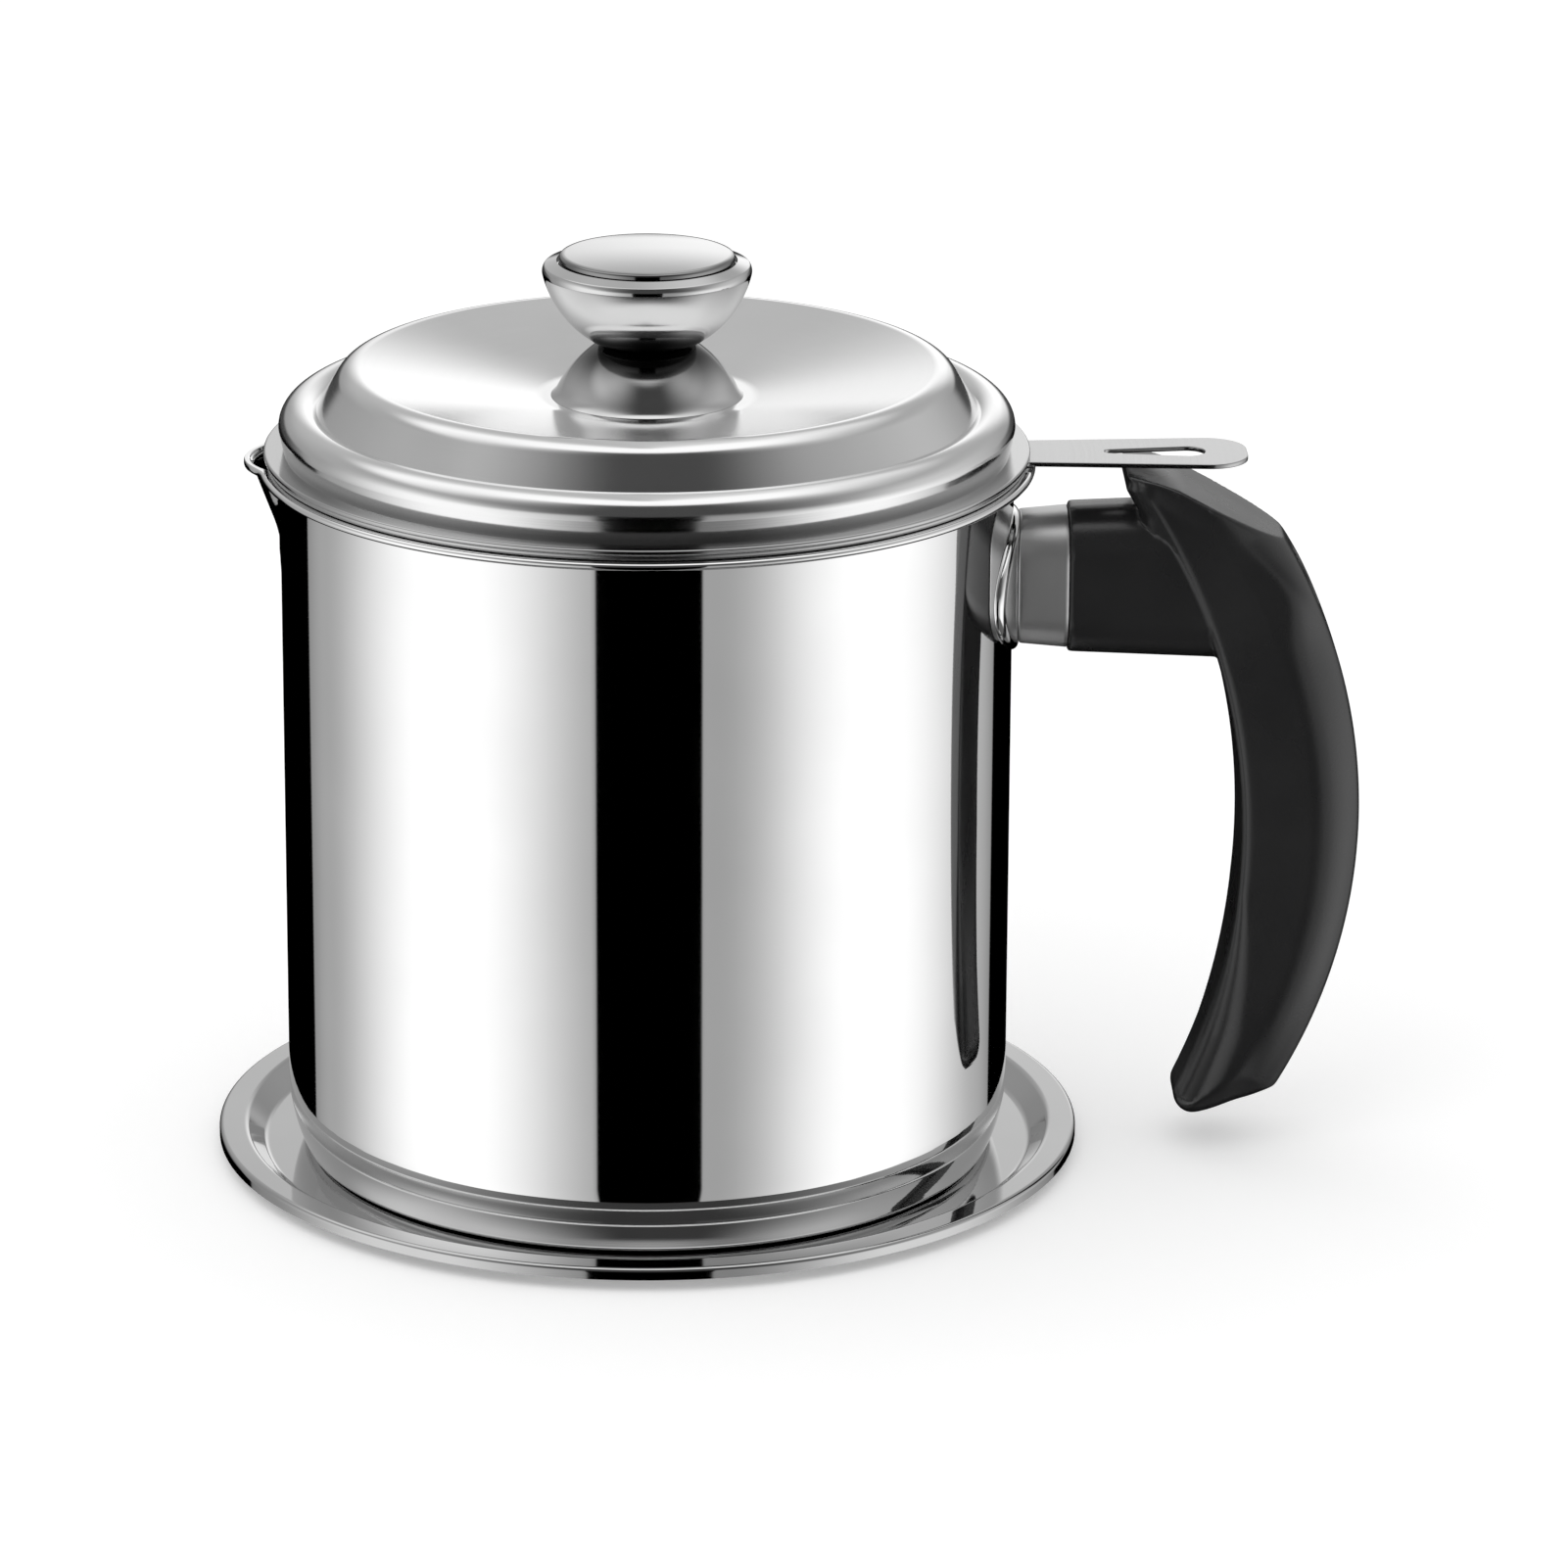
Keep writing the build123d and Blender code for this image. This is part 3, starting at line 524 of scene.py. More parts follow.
def makePot(p):
    wall, bore, lip = p.radius, p.radius - p.sheet, p.radius + p.lipWidth
    base, floor, foot = p.base, p.base + p.sheet, p.base + p.footHeight
    top, under = p.top, p.top - p.lipThickness
    outer = roundedPath(
        [(0, base), (wall - p.footInset, base), (wall, foot), (wall, under), (lip, under)],
        [p.footEdge, p.footBlend, p.lipBend], 16)
    curl = arc((lip - p.curlRadius, top - p.curlDrop), p.curlRadius, *p.curlAngles, 14)
    inner = roundedPath(
        [(lip - p.lipFlat, top), (bore, top), (bore, foot),
         (wall - p.footInset - p.cornerShare * p.sheet, floor), (0, floor)],
        [p.mouthBend, p.footBlend - p.sheet, p.footEdge - p.sheet], 12)
    heights = np.linspace(top - p.spoutDrop - p.ringMargin, top - p.ringMargin, p.spoutRings)

    def thicken(path):  # adds rings to the tall wall where the spout bends it
        result = []
        for a, b in zip(path, path[1:]):
            result.append(a)
            if abs(a[1] - b[1]) > p.tallRun:
                between = [(a[0], z) for z in heights if min(a[1], b[1]) < z < max(a[1], b[1])]
                result += between if b[1] > a[1] else between[::-1]
        return result + [path[-1]]

    loop = thicken(outer[:-1]) + curl + thicken(inner)
    spinPiece("potBody", "pot", "pot_body", loop, mirrorSteel, p.segments, spoutWarp(p))


makePot(Sizes(**pot))
print("tray and pot ready")

strainer = {
    "cupRadius": 58.6,
    "cupGap": 0.02,  # under the rim
    "rimBottom": 118.1, "rimThickness": 0.8, "rimBore": 57.9, "rimRadius": 62.0,
    "straight": 8.0, "taper": 8.6, "depth": 24.0,
    "ledge": 4.0, "ledgeBend": 1.5, "wallBend": 6.0,
    "sheet": 0.5,
    "gauzeHeight": 0.64,  # between ledge and ring, with its play
    "ringGap": 0.5, "ringHeight": 0.8, "ringWidth": 2.6, "ringRound": 0.25,
    "segments": 256,
    "tabTip": 98.2, "tabRootWidth": 13.6, "tabTipWidth": 17.6, "tabCorner": 6.5, "tabFillet": 1.6,
    "filletAngle": 1.6,  # degrees of the ring on each side of the tab
    "slotTip": 88.4, "slotRoot": 76.0, "slotTipRadius": 2.9, "slotRootRadius": 1.2,
    "bevel": 0.16,
}


def makeCup(s):
    floor, foot = s.rimBottom - s.depth, s.cupRadius - s.taper
    wall = s.cupRadius
    path = roundedPath(
        [(foot - s.ledge, floor), (foot, floor), (wall, s.rimBottom - s.straight),
         (wall, s.rimBottom - s.cupGap)],
        [s.ledgeBend, s.wallBend], 12)
    loop = sheetLoop(path, s.sheet)
    spinPiece("strainerCup", "strainer", "strainer_cup", loop, brightSteel, s.segments)
    outside = foot - s.sheet - s.ringGap
    inside = outside - s.ringWidth
    low = floor + s.sheet + s.gauzeHeight
    top = low + s.ringHeight
    corners = [(outside, low), (outside, top), (inside, top), (inside, low)]
    ring = roundedPath(corners, [s.ringRound] * 2, 4)
    spinPiece("gauzeRetainer", "strainer", "gauze_retainer", ring, brightSteel, s.segments)


def rimOutline(s):  # the far side of the ring, then round the tab
    half, tip = s.tabRootWidth / 2, s.tabTipWidth / 2
    join = asin(half / s.rimRadius)
    joinX = s.rimRadius * cos(join)
    start = degrees(join) + s.filletAngle
    ring = arc((0, 0), s.rimRadius, start, 360 - start, 300)
    tab = roundedPath(
        [ring[-1], (joinX, -half), (s.tabTip, -tip), (s.tabTip, tip), (joinX, half), ring[0]],
        [s.tabFillet / 2, s.tabCorner, s.tabCorner, s.tabFillet / 2], 14)
    return ring[:-1] + tab[:-1]


def slotOutline(s):
    narrowing = (s.slotTipRadius - s.slotRootRadius) / (s.slotTip - s.slotRoot)
    lean = degrees(asin(narrowing))
    return (arc((s.slotTip, 0), s.slotTipRadius, -90 - lean, 90 + lean, 30)
            + arc((s.slotRoot, 0), s.slotRootRadius, 90 + lean, 270 - lean, 20))


def evaluatedMesh(source):
    return bpy.data.meshes.new_from_object(source.evaluated_get(bpy.context.evaluated_depsgraph_get()))


def plate(name, outlines, low, thickness, bevel, material):
    # a flat plate with holes and rounded edges, from outlines seen from above
    curve = bpy.data.curves.new(name, "CURVE")
    curve.dimensions = "2D"
    curve.fill_mode = "BOTH"
    curve.extrude = (thickness / 2 - bevel) * mm
    curve.bevel_depth = bevel * mm
    curve.bevel_resolution = 2
    curve.offset = -bevel * mm
    for outline in outlines:
        spline = curve.splines.new("POLY")
        spline.points.add(len(outline) - 1)
        for point, (x, y) in zip(spline.points, outline):
            point.co = (x * mm, y * mm, 0, 1)
        spline.use_cyclic_u = True
    holder = newObject(name + "Curve", curve)
    mesh = evaluatedMesh(holder)
    bpy.data.objects.remove(holder)
    mesh.name = name
    mesh.transform(Matrix.Translation((0, 0, (low + thickness / 2) * mm)))
    shape = bmesh.new()
    shape.from_mesh(mesh)
    bmesh.ops.remove_doubles(shape, verts=shape.verts, dist=1e-7)
    for edge in shape.edges:  # sharp where a flat face meets the rounded edge
        flat = [abs(face.normal.z) > 0.999 for face in edge.link_faces]
        edge.smooth = len(set(flat)) < 2
    for face in shape.faces:
        face.smooth = True
    shape.to_mesh(mesh)
    shape.free()
    mesh.materials.clear()
    mesh.materials.append(material)
    return newObject(name, mesh)


def makeRim(s):
    outlines = [rimOutline(s), arc((0, 0), s.rimBore, 0, 360, 256)[:-1], slotOutline(s)]
    piece = plate("strainerRim", outlines, s.rimBottom, s.rimThickness, s.bevel, satinTab)
    finishPiece(piece, "strainer", ["strainer_rim"])


satinTab = polishedSteel("satinTab", 0.5, 0.2, 0.02, 0.02)
makeCup(Sizes(**strainer))
makeRim(Sizes(**strainer))
print("strainer rim and cup ready")

lid = {
    "sheet": 0.6,
    "low": 119.0,
    "flange": 0.9,
    "radius": 62.6,
    "edgeRound": 0.35,
    "lipRadius": 57.5, "lipDepth": 0.9, "lipRound": 0.2,
    "foot": 59.3,
    "footStep": (0.12, 0.5),  # out and up from the flange, where the bulge begins
    "wide": (60.1, 123.8),  # (radius, height), as the next three
    "shoulder": (56.4, 127.5),
    "groove": (53.9, 126.5),
    "crest": (49.2, 133.9),
    "crestRound": 3.7,
    "seat": 17.7, "seatBlend": 9.0, "dish": 128.5, "hole": 2.8,
    "segments": 360,
}


def circleOf(a, b, c):  # centre and radius of the circle through three points
    ax, ay, bx, by, cx, cy = *a, *b, *c
    aa, bb, cc = ax * ax + ay * ay, bx * bx + by * by, cx * cx + cy * cy
    d = 2 * (ax * (by - cy) + bx * (cy - ay) + cx * (ay - by))
    ux = (aa * (by - cy) + bb * (cy - ay) + cc * (ay - by)) / d
    uy = (aa * (cx - bx) + bb * (ax - cx) + cc * (bx - ax)) / d
    return (ux, uy), hypot(ax - ux, ay - uy)


def circleThrough(a, b, c, steps):
    (ux, uy), radius = circleOf(a, b, c)
    start, middle, end = (degrees(atan2(y - uy, x - ux)) for x, y in (a, b, c))
    clockwise = (middle - start) % 360 > (end - start) % 360
    end = start - (start - end) % 360 if clockwise else start + (end - start) % 360
    return arc((ux, uy), radius, start, end, steps)


def makeLid(c):
    low, top = c.low, c.low + c.flange
    lip, bore, under = c.lipRadius, c.lipRadius - c.sheet, c.low - c.lipDepth
    crown = roundedPath(
        [(c.hole, c.dish), (c.seat, c.dish), c.crest, c.groove],
        [c.seatBlend, c.crestRound], 16)
    shoulder = circleThrough(c.groove, c.shoulder, c.wide, 24)
    out, up = c.footStep
    skin = crown + shoulder[1:] + [(c.foot + out, top + up)]
    inside = offsetPath(skin, -c.sheet)[::-1]
    flange = roundedPath(
        [(c.foot, top), (c.radius, top), (c.radius, low), (lip, low),
         (lip, under), (bore, under), (bore, top), (inside[0][0], top)],
        [c.edgeRound, c.edgeRound, 0, c.lipRound, c.lipRound, 0], 6)
    spinPiece("lidShell", "lid", "lid_shell", skin + flange + inside, lidSteel, c.segments)


# painted shade: the flange and the foot of the shoulder, below 122.0 mm, are darkened down to 0.62
lidSteel = polishedSteel("lidSteel", 0.83, 0.13, 0.02, 0.02, paintedShade=(120.3, 122.0, 0.62))
makeLid(Sizes(**lid))
print("lid ready")

knob = {
    "sheet": 0.8,
    "segments": 256,
    "low": 128.52,
    "neckRadius": 6.9, "neck": 137.8,
    "footRadius": 15.3, "edge": 1.0, "edgeStart": 0.15,
    "bulge": 1.0, "flare": 0.4, "flareHeight": 1.6,
    "hole": 4.4,
    "bowlLow": 137.82, "bowlBase": 8.9, "bowlRadius": 17.5, "bowlHeight": 11.0,
    "beadRadius": 16.7, "beadHeight": 1.5, "beadBore": 14.7, "beadTop": 151.02, "beadRound": 0.25,
    "capRadius": 14.28, "capLow": 149.52, "capEdge": 152.02, "capTop": 152.82, "capRound": 0.5,
}


def bowed(a, b, bulge, steps):  # arc from a to b that bows out to the left
    a, b = np.array([a, b], float)
    side = np.array([-(b - a)[1], (b - a)[0]])
    middle = (a + b) / 2 + side / np.linalg.norm(side) * bulge
    return circleThrough(tuple(a), tuple(middle), tuple(b), steps)


def tangentArc(a, direction, b, steps):  # arc from a to b that leaves a along a direction
    a, b, d = np.array([a, b, direction], float)
    side = np.array([-d[1], d[0]])
    radius = float((b - a) @ (b - a)) / (2 * float((b - a) @ side))
    centre = a + side * radius
    start, end = (degrees(atan2(*(p - centre)[::-1])) for p in (a, b))
    end = start + (end - start) % 360 if radius > 0 else start - (start - end) % 360
    return arc(tuple(centre), abs(radius), start, end, steps)


def makeKnobFoot(k):
    low, neck, under = k.low, k.neck, k.neck - k.sheet
    outside = []
    for r, z in bowed((k.footRadius, low), (k.neckRadius, neck), -k.bulge, 40):
        share = max(0, 1 - (z - low) / k.flareHeight)
        outside.append((r + k.flare * share ** 3, z))
    inner, edge = (k.footRadius - k.edge, low), (k.footRadius - k.edgeStart, low)
    inside = bowed((k.neckRadius - k.sheet / 2, under), inner, k.bulge, 16)
    loop = [edge] + outside + [(k.hole, neck), (k.hole, under)] + inside
    spinPiece("knobFoot", "lid", "knob_foot", loop, neckSteel, k.segments)


def makeKnobBowl(k):
    low, radius = k.bowlLow, k.bowlRadius
    centre = low + sqrt(radius ** 2 - k.bowlBase ** 2)
    heights = (low, low + k.bowlHeight)
    start, end = (degrees(asin((z - centre) / radius)) for z in heights)
    ball = arc((0, centre), radius, start, end, 40)
    onward = (-sin(radians(end)), cos(radians(end)))
    bead = tangentArc(ball[-1], onward, (k.beadRadius, ball[-1][1] + k.beadHeight), 10)
    rim = roundedPath([bead[-2], bead[-1], (k.beadBore, k.beadTop)], [k.beadRound], 5)
    path = [(k.hole, low)] + ball + bead[1:-1] + rim[1:]
    loop = sheetLoop(path, k.sheet)
    spinPiece("knobBowl", "lid", "knob_bowl", loop, bowlSteel, k.segments)


def makeKnobCap(k):
    rise = k.capTop - k.capEdge
    radius = (k.capRadius ** 2 + rise ** 2) / (2 * rise)
    flat = k.capRadius - k.capRound
    dome = arc((0, k.capTop - radius), radius, 90, 90 - degrees(asin(flat / radius)), 24)
    side = arc((flat, k.capEdge - k.capRound), k.capRound, 80, 0, 8)
    loop = dome + side + [(k.capRadius, k.capLow), (0, k.capLow)]
    spinPiece("knobCap", "lid", "knob_cap", loop, capSteel, k.segments)


# painted shade on the knob: the cap's side below its rounded edge, the bowl's lower part towards the neck
# and the foot towards its neck are darkened
capSteel = polishedSteel("capSteel", 0.66, 0.08, 0.02, 0.02, paintedShade=(152.0, 152.14, 0.4))
bowlSteel = polishedSteel("bowlSteel", 0.68, 0.08, 0.02, 0.02, paintedShade=(138.4, 143.0, 0.2))
neckSteel = polishedSteel("neckSteel", 0.66, 0.1, 0.02, 0.02, paintedShade=(136.4, 131.0, 0.1))
makeKnobFoot(Sizes(**knob))
makeKnobBowl(Sizes(**knob))
makeKnobCap(Sizes(**knob))
print("knob ready")

bracket = {
    "inner": 60.02,
    "outer": 61.12,
    "width": 40.0,
    "height": 22.4,
    "round": 0.9,
    "roundScale": 11,  # near half the plate's height, so the round is about true there
    "segments": 160,
    "bossSink": 0.5,  # of the boss in the plate
    "bossRadius": 5.5, "bossEnd": 77.0, "bossChamfer": 0.4, "bossSegments": 64,
    "threadRadius": 2.55, "threadStart": 68.0, "threadChamfer": 0.3,
}


def makeBracket(b):
    vertices, faces = [], []

    def addRings(rings, segments, place):  # a ring of no size is one point
        numbers = []
        for size, rise in rings:
            count = segments if size else 1
            numbers.append(list(range(len(vertices), len(vertices) + count)))
            vertices.extend(place(size, rise, t) for t in np.arange(count) * 2 * pi / segments)
        for low, high in zip(numbers, numbers[1:]):
            faces.extend(bridge(low, high, True))

    def onPlate(share, rise, t):
        radius = b.inner + rise
        y = b.width / 2 * share * cos(t)
        z = armAxis + b.height / 2 * share * sin(t)
        return sqrt(radius * radius - y * y) * mm, y * mm, z * mm

    def onBoss(radius, x, t):
        return x * mm, radius * cos(t) * mm, (armAxis + radius * sin(t)) * mm

    thick, edge = b.outer - b.inner, b.round
    rings = [(share, thick) for share in (0.0, 0.25, 0.5, 0.75, 0.9)]
    for angle in np.radians(np.linspace(90, 0, 8)):
        share = 1 - (1 - cos(angle)) * edge / b.roundScale
        rings.append((share, thick - edge + edge * sin(angle)))
    rings += [(share, 0.0) for share in (1.0, 0.85, 0.6, 0.3, 0.0)]
    addRings(rings, b.segments, onPlate)
    start, end = b.outer - b.bossSink, b.bossEnd
    rings = [
        (0, start), (b.bossRadius, start), (b.bossRadius, end - b.bossChamfer),
        (b.bossRadius - b.bossChamfer, end), (b.threadRadius + b.threadChamfer, end),
        (b.threadRadius, end - b.threadChamfer), (b.threadRadius, b.threadStart),
        (0, b.threadStart)]
    addRings(rings, b.bossSegments, onBoss)
    piece = meshObject("handleBracket", vertices, faces, brightSteel)
    finishPiece(piece, "pot", ["handle_bracket"])


guard = {
    "root": 61.14,
    "end": 69.0,
    "rootX": 51.0, "rootWidth": 15.2, "rootHeight": 20.0,
    "endWidth": 17.6, "endHeight": 23.2,
    "corner": 7.6,
    "cornerLoss": 0.136,  # of the corner's radius, at the root
    "sheet": 0.6,
    "edgeRound": 0.22,
}


def ovalOutline(width, height, corner):  # rounded rectangle as (y, z) pairs about its centre
    points = []
    for quarter, (sy, sz) in enumerate(((1, 1), (-1, 1), (-1, -1), (1, -1))):
        centre = (sy * (width / 2 - corner), sz * (height / 2 - corner))
        points += arc(centre, corner, quarter * 90, quarter * 90 + 90, 14)
    return points


def makeGuard(g):
    edge, sheet = g.edgeRound, g.sheet
    # along the outside and back along the inside, as (share of the length, inset)
    stations = [
        (0.0, edge), (0.02, 0.05), (0.05, 0.0), (0.3, 0.0), (0.6, 0.0), (0.9, 0.0), (0.975, 0.0),
        (1.0, edge),
        (1.0, sheet - edge), (0.97, sheet), (0.5, sheet), (0.03, sheet), (0.0, sheet - edge)]
    vertices, rings = [], []
    for along, inset in stations:
        x = g.root + (g.end - g.root) * along
        share = (x - g.rootX) / (g.end - g.rootX)
        width = g.rootWidth + (g.endWidth - g.rootWidth) * share - 2 * inset
        height = g.rootHeight + (g.endHeight - g.rootHeight) * share - 2 * inset
        corner = g.corner * (1 - g.cornerLoss * (1 - share)) - inset
        outline = ovalOutline(width, height, corner)
        rings.append(list(range(len(vertices), len(vertices) + len(outline))))
        for y, z in outline:
            wall = sqrt(g.root ** 2 - y * y)
            vertices.append(((wall + (g.end - wall) * along) * mm, y * mm, (armAxis + z) * mm))
    faces = []
    for low, high in zip(rings, rings[1:] + rings[:1]):
        faces += bridge(low, high)
    piece = meshObject("flameGuard", vertices, faces, guardSteel, 50)
    finishPiece(piece, "pot", ["flame_guard"])


guardSteel = polishedSteel("guardSteel", 0.8, 0.42, 0.0, 0.03)
makeBracket(Sizes(**bracket))
makeGuard(Sizes(**guard))
print("bracket and guard ready")

grip = {
    "start": 69.02,
    "startRound": 0.4,
    "armWidth": 17.8, "armHeight": 24.6, "armGrowth": 2.4, "armCorner": 7.8,
    "corner": (93.9, 84.2),  # the finger side, as (x, z) from the arm to the tip
    "fingerMiddle": (98.1, 57.25),
    "tipFront": (85.6, 4.2),
    "tipBulge": 0.8,
    "tipBack": (105.6, 10.6),
    "backMiddle": (118.0, 57.25),
    "heel": (104.4, 105.3),
    "width": 20.6,  # over the ridges along both sides
    "ridgeDepth": 8.1,  # from the back to the ridges
    "flareDepth": 13.0,  # from the ridges to the web's flat sides
    "backRound": 7.8,
    "backFlat": (3.4, 7),  # loss of that round at the screw's hole, and how far along it fades
    "webRound": (1.5, 6.2),  # above, and at the tip
    "webHeights": (20, 45),  # between which it changes
    "tipRound": 3.0,
    "creaseDepth": 0.9,  # of the hollow beside the rounded web at the tip
    "creaseWidth": 2.0, "creaseInset": 9.6, "creaseTop": 24.0,
    "padTop": 117.2, "padWidth": 21.6, "padCorner": 3.0, "padEdge": 0.5, "padSlope": 28.2,
    "slopeStart": 82.2,
    "slopeRound": 3,
    "sideDepth": 5.2,  # of the pad's flared sides at the nose, and their growth along it
    "sideGrowth": 0.6,
    "sideTuck": 0.35,  # how the sides run in under the flare
    "nose": [(97.7, 80.4), (110.0, 80.4), (114.4, 78.0), (117.2, 78.6)],  # (z, x) up the front
    "noseSlope": 0.9,
    "bossHole": (5.8, 77.3),  # radius, and where it ends
    "screwHole": 2.8,
    "counterbore": (4.75, 95.02),
    "holeRound": 0.25,
    "low": (68, -12, 1),  # a box round the whole grip
    "high": (120, 12, 119),
    "step": 0.45,  # between points of the finished surface
    "softening": 2,
}


def within(a, b, radius=0.0):
    edge = np.hypot(np.maximum(a + radius, 0), np.maximum(b + radius, 0))
    return np.minimum(np.maximum(a, b), -radius) + edge  # inside both, the edge between them rounded


def gripField(g):
    backCentre, backRadius = circleOf(g.heel, g.backMiddle, g.tipBack)
    fingerCentre, fingerRadius = circleOf(g.corner, g.fingerMiddle, g.tipFront)
    tipStart, tipEnd = np.array(g.tipFront), np.array(g.tipBack)
    tipRun = tipEnd - tipStart
    tipCos = tipRun[0] / np.linalg.norm(tipRun)

    def fingerSide(x, z):
        return fingerRadius - np.hypot(x - fingerCentre[0], z - fingerCentre[1])

    def tipSide(x, z):
        share = (x - tipStart[0]) / tipRun[0]
        bulge = g.tipBulge * 4 * np.clip(share, 0, 1) * (1 - np.clip(share, 0, 1))
        return (tipStart[1] + tipRun[1] * share - bulge - z) * tipCos

    # the round between finger side and tip turns about a point equally far inside both
    fingerOut = (np.array(fingerCentre) - tipStart) / fingerRadius
    tipOut = np.array([tipRun[1], -tipRun[0]]) / np.linalg.norm(tipRun)
    pivot = tipStart.copy()
    for i in range(60):
        pivot = pivot - fingerOut * (fingerSide(*pivot) + g.tipRound)
        pivot = pivot - tipOut * (tipSide(*pivot) + g.tipRound)
    slope = radians(g.padSlope)
    ridge, web, padHalf = g.width / 2, g.armWidth / 2, g.padWidth / 2
    armEnd = g.fingerMiddle[0]
    noseZ, noseX = zip(*g.nose)
    flatLoss, flatFade = g.backFlat

    def field(x, y, z):
        y = np.abs(y)
        back = np.hypot(x - backCentre[0], z - backCentre[1]) - backRadius
        finger = fingerSide(x, z)
        spokeX, spokeZ = x - pivot[0], z - pivot[1]
        pastFinger = spokeX * fingerOut[1] - spokeZ * fingerOut[0] < 0
        pastTip = spokeX * tipCos + spokeZ * tipRun[1] / tipRun[0] * tipCos < 0
        tipCorner = np.hypot(spokeX, spokeZ) - g.tipRound
        front = np.where(pastFinger & pastTip, tipCorner, np.maximum(finger, tipSide(x, z)))
        above = z - g.padTop
        sloped = (x - g.slopeStart) * sin(slope) + above * cos(slope)
        top = within(sloped, above, g.slopeRound)

        # the column that the fingers close round
        flare = np.clip((-back - g.ridgeDepth) / g.flareDepth, 0, 1)
        low = np.clip((g.creaseTop - z) / g.creaseTop, 0, 1)
        crease = g.creaseDepth * low * np.exp(-((-finger - g.creaseInset) / g.creaseWidth) ** 2)
        side = y - (ridge + (web - ridge) * flare - crease)
        webRound = np.interp(z, g.webHeights, g.webRound[::-1])
        backRound = g.backRound - flatLoss * np.exp(-((z - armAxis) / flatFade) ** 2)
        column = np.maximum(within(side, back, backRound), within(side, front, webRound))
        column = within(column, top, g.padEdge)

        # the arm from the guard
        along = (x - g.start) / (armEnd - g.start)
        halfHeight = (g.armHeight + g.armGrowth * along) / 2
        arm = within(y - web, np.abs(z - armAxis) - halfHeight, g.armCorner)
        arm = within(arm, g.start - x, g.startRound)
        arm = np.maximum(np.maximum(arm, x - armEnd), top)

        # the thumb pad over it
        depth = np.minimum(g.padTop, g.padTop - (x - g.slopeStart) * tan(slope)) - z
        foot = g.sideDepth + g.sideGrowth * np.maximum(x - noseX[-1], 0)
        share = np.clip(depth / foot, 0, 1)
        padSide = y - (padHalf + (web - padHalf) * share) + g.sideTuck * np.maximum(depth - foot, 0)
        nose = (np.interp(z, noseZ, noseX) - x) * g.noseSlope
        pad = within(within(nose, padSide, g.padCorner), top, g.padEdge)
        pad = np.maximum(np.maximum(pad, within(padSide, back, g.backRound)), armAxis - z)

        # the holes for the boss, the screw and its head
        spoke = np.hypot(y, z - armAxis)
        hole = np.maximum(spoke - g.bossHole[0], x - g.bossHole[1])
        hole = np.minimum(hole, spoke - g.screwHole)
        hole = np.minimum(hole, np.maximum(spoke - g.counterbore[0], g.counterbore[1] - x))
        return within(np.minimum(np.minimum(column, arm), pad), -hole, g.holeRound)

    return field


def surfaceNet(field, low, high, step):
    # points and quads of the surface where a field is 0, outwards where it grows
    axes = [np.arange(a, b + step, step) for a, b in zip(low, high)]
    inside = field(*np.meshgrid(*axes, indexing="ij")) < 0
    size = [n - 1 for n in inside.shape]
    count = sum(inside[i:i + size[0], j:j + size[1], k:k + size[2]].astype(int)
                for i in (0, 1) for j in (0, 1) for k in (0, 1))
    active = (count > 0) & (count < 8)
    index = np.full(active.shape, -1)
    index[active] = np.arange(active.sum())
    points = (np.argwhere(active) + 0.5) * step + np.array(low)
    nudge = step * 0.05
    flattest = 0.2  # least squared slope, so that no point is thrown far
    for i in range(6):
        value = field(*points.T)
        slopes = [(field(*(points + d).T) - field(*(points - d).T)) / (2 * nudge) for d in np.eye(3) * nudge]
        slope = np.stack(slopes, 1)
        length = np.maximum((slope * slope).sum(1), flattest)
        points = points - slope * np.clip(value / length, -step, step)[:, None]
    quads = []
    for a in range(3):
        b, c = (a + 1) % 3, (a + 2) % 3
        here = np.moveaxis(inside, (a, b, c), (0, 1, 2))
        cells = np.moveaxis(index, (a, b, c), (0, 1, 2))
        crossing = here[:-1] != here[1:]
        i, j, k = np.nonzero(crossing[:, 1:-1, 1:-1])
        outward = here[:-1][i, j + 1, k + 1]
        quad = np.stack([cells[i, j, k], cells[i, j + 1, k], cells[i, j + 1, k + 1], cells[i, j, k + 1]], 1)
        quads.append(np.where(outward[:, None], quad, quad[:, ::-1]))
    return points, np.concatenate(quads)


def makeGrip(g):
    points, quads = surfaceNet(gripField(g), g.low, g.high, g.step)
    piece = meshObject("grip", points * mm, quads.tolist(), gripPlastic, 180)
    shape = bmesh.new()
    shape.from_mesh(piece.data)
    for i in range(g.softening):
        bmesh.ops.smooth_vert(
            shape, verts=shape.verts, factor=0.5, use_axis_x=True, use_axis_y=True, use_axis_z=True)
    shape.to_mesh(piece.data)
    shape.free()
    print("grip ready,", len(quads), "faces")
    finishPiece(piece, "pot", ["handle_grip"])


makeGrip(Sizes(**grip))


def newTree(name, inputs):
    tree = bpy.data.node_groups.new(name, "GeometryNodeTree")
    sockets = {}
    for label in inputs:
        kind = "NodeSocketMaterial" if label == "Material" else "NodeSocketFloat"
        sockets[label] = tree.interface.new_socket(name=label, in_out="INPUT", socket_type=kind).identifier
    tree.interface.new_socket(name="Geometry", in_out="OUTPUT", socket_type="NodeSocketGeometry")
    return tree, Nodes(tree), sockets


def finishTree(n, parts, material):
    joined = n.add("GeometryNodeJoinGeometry")
    for part in parts:
        n.plug(joined.inputs[0], part)
    real = n.add("GeometryNodeRealizeInstances", {"Geometry": joined})
    dressed = n.add("GeometryNodeSetMaterial", {"Geometry": real, "Material": material})
    n.add("NodeGroupOutput", {"Geometry": dressed})


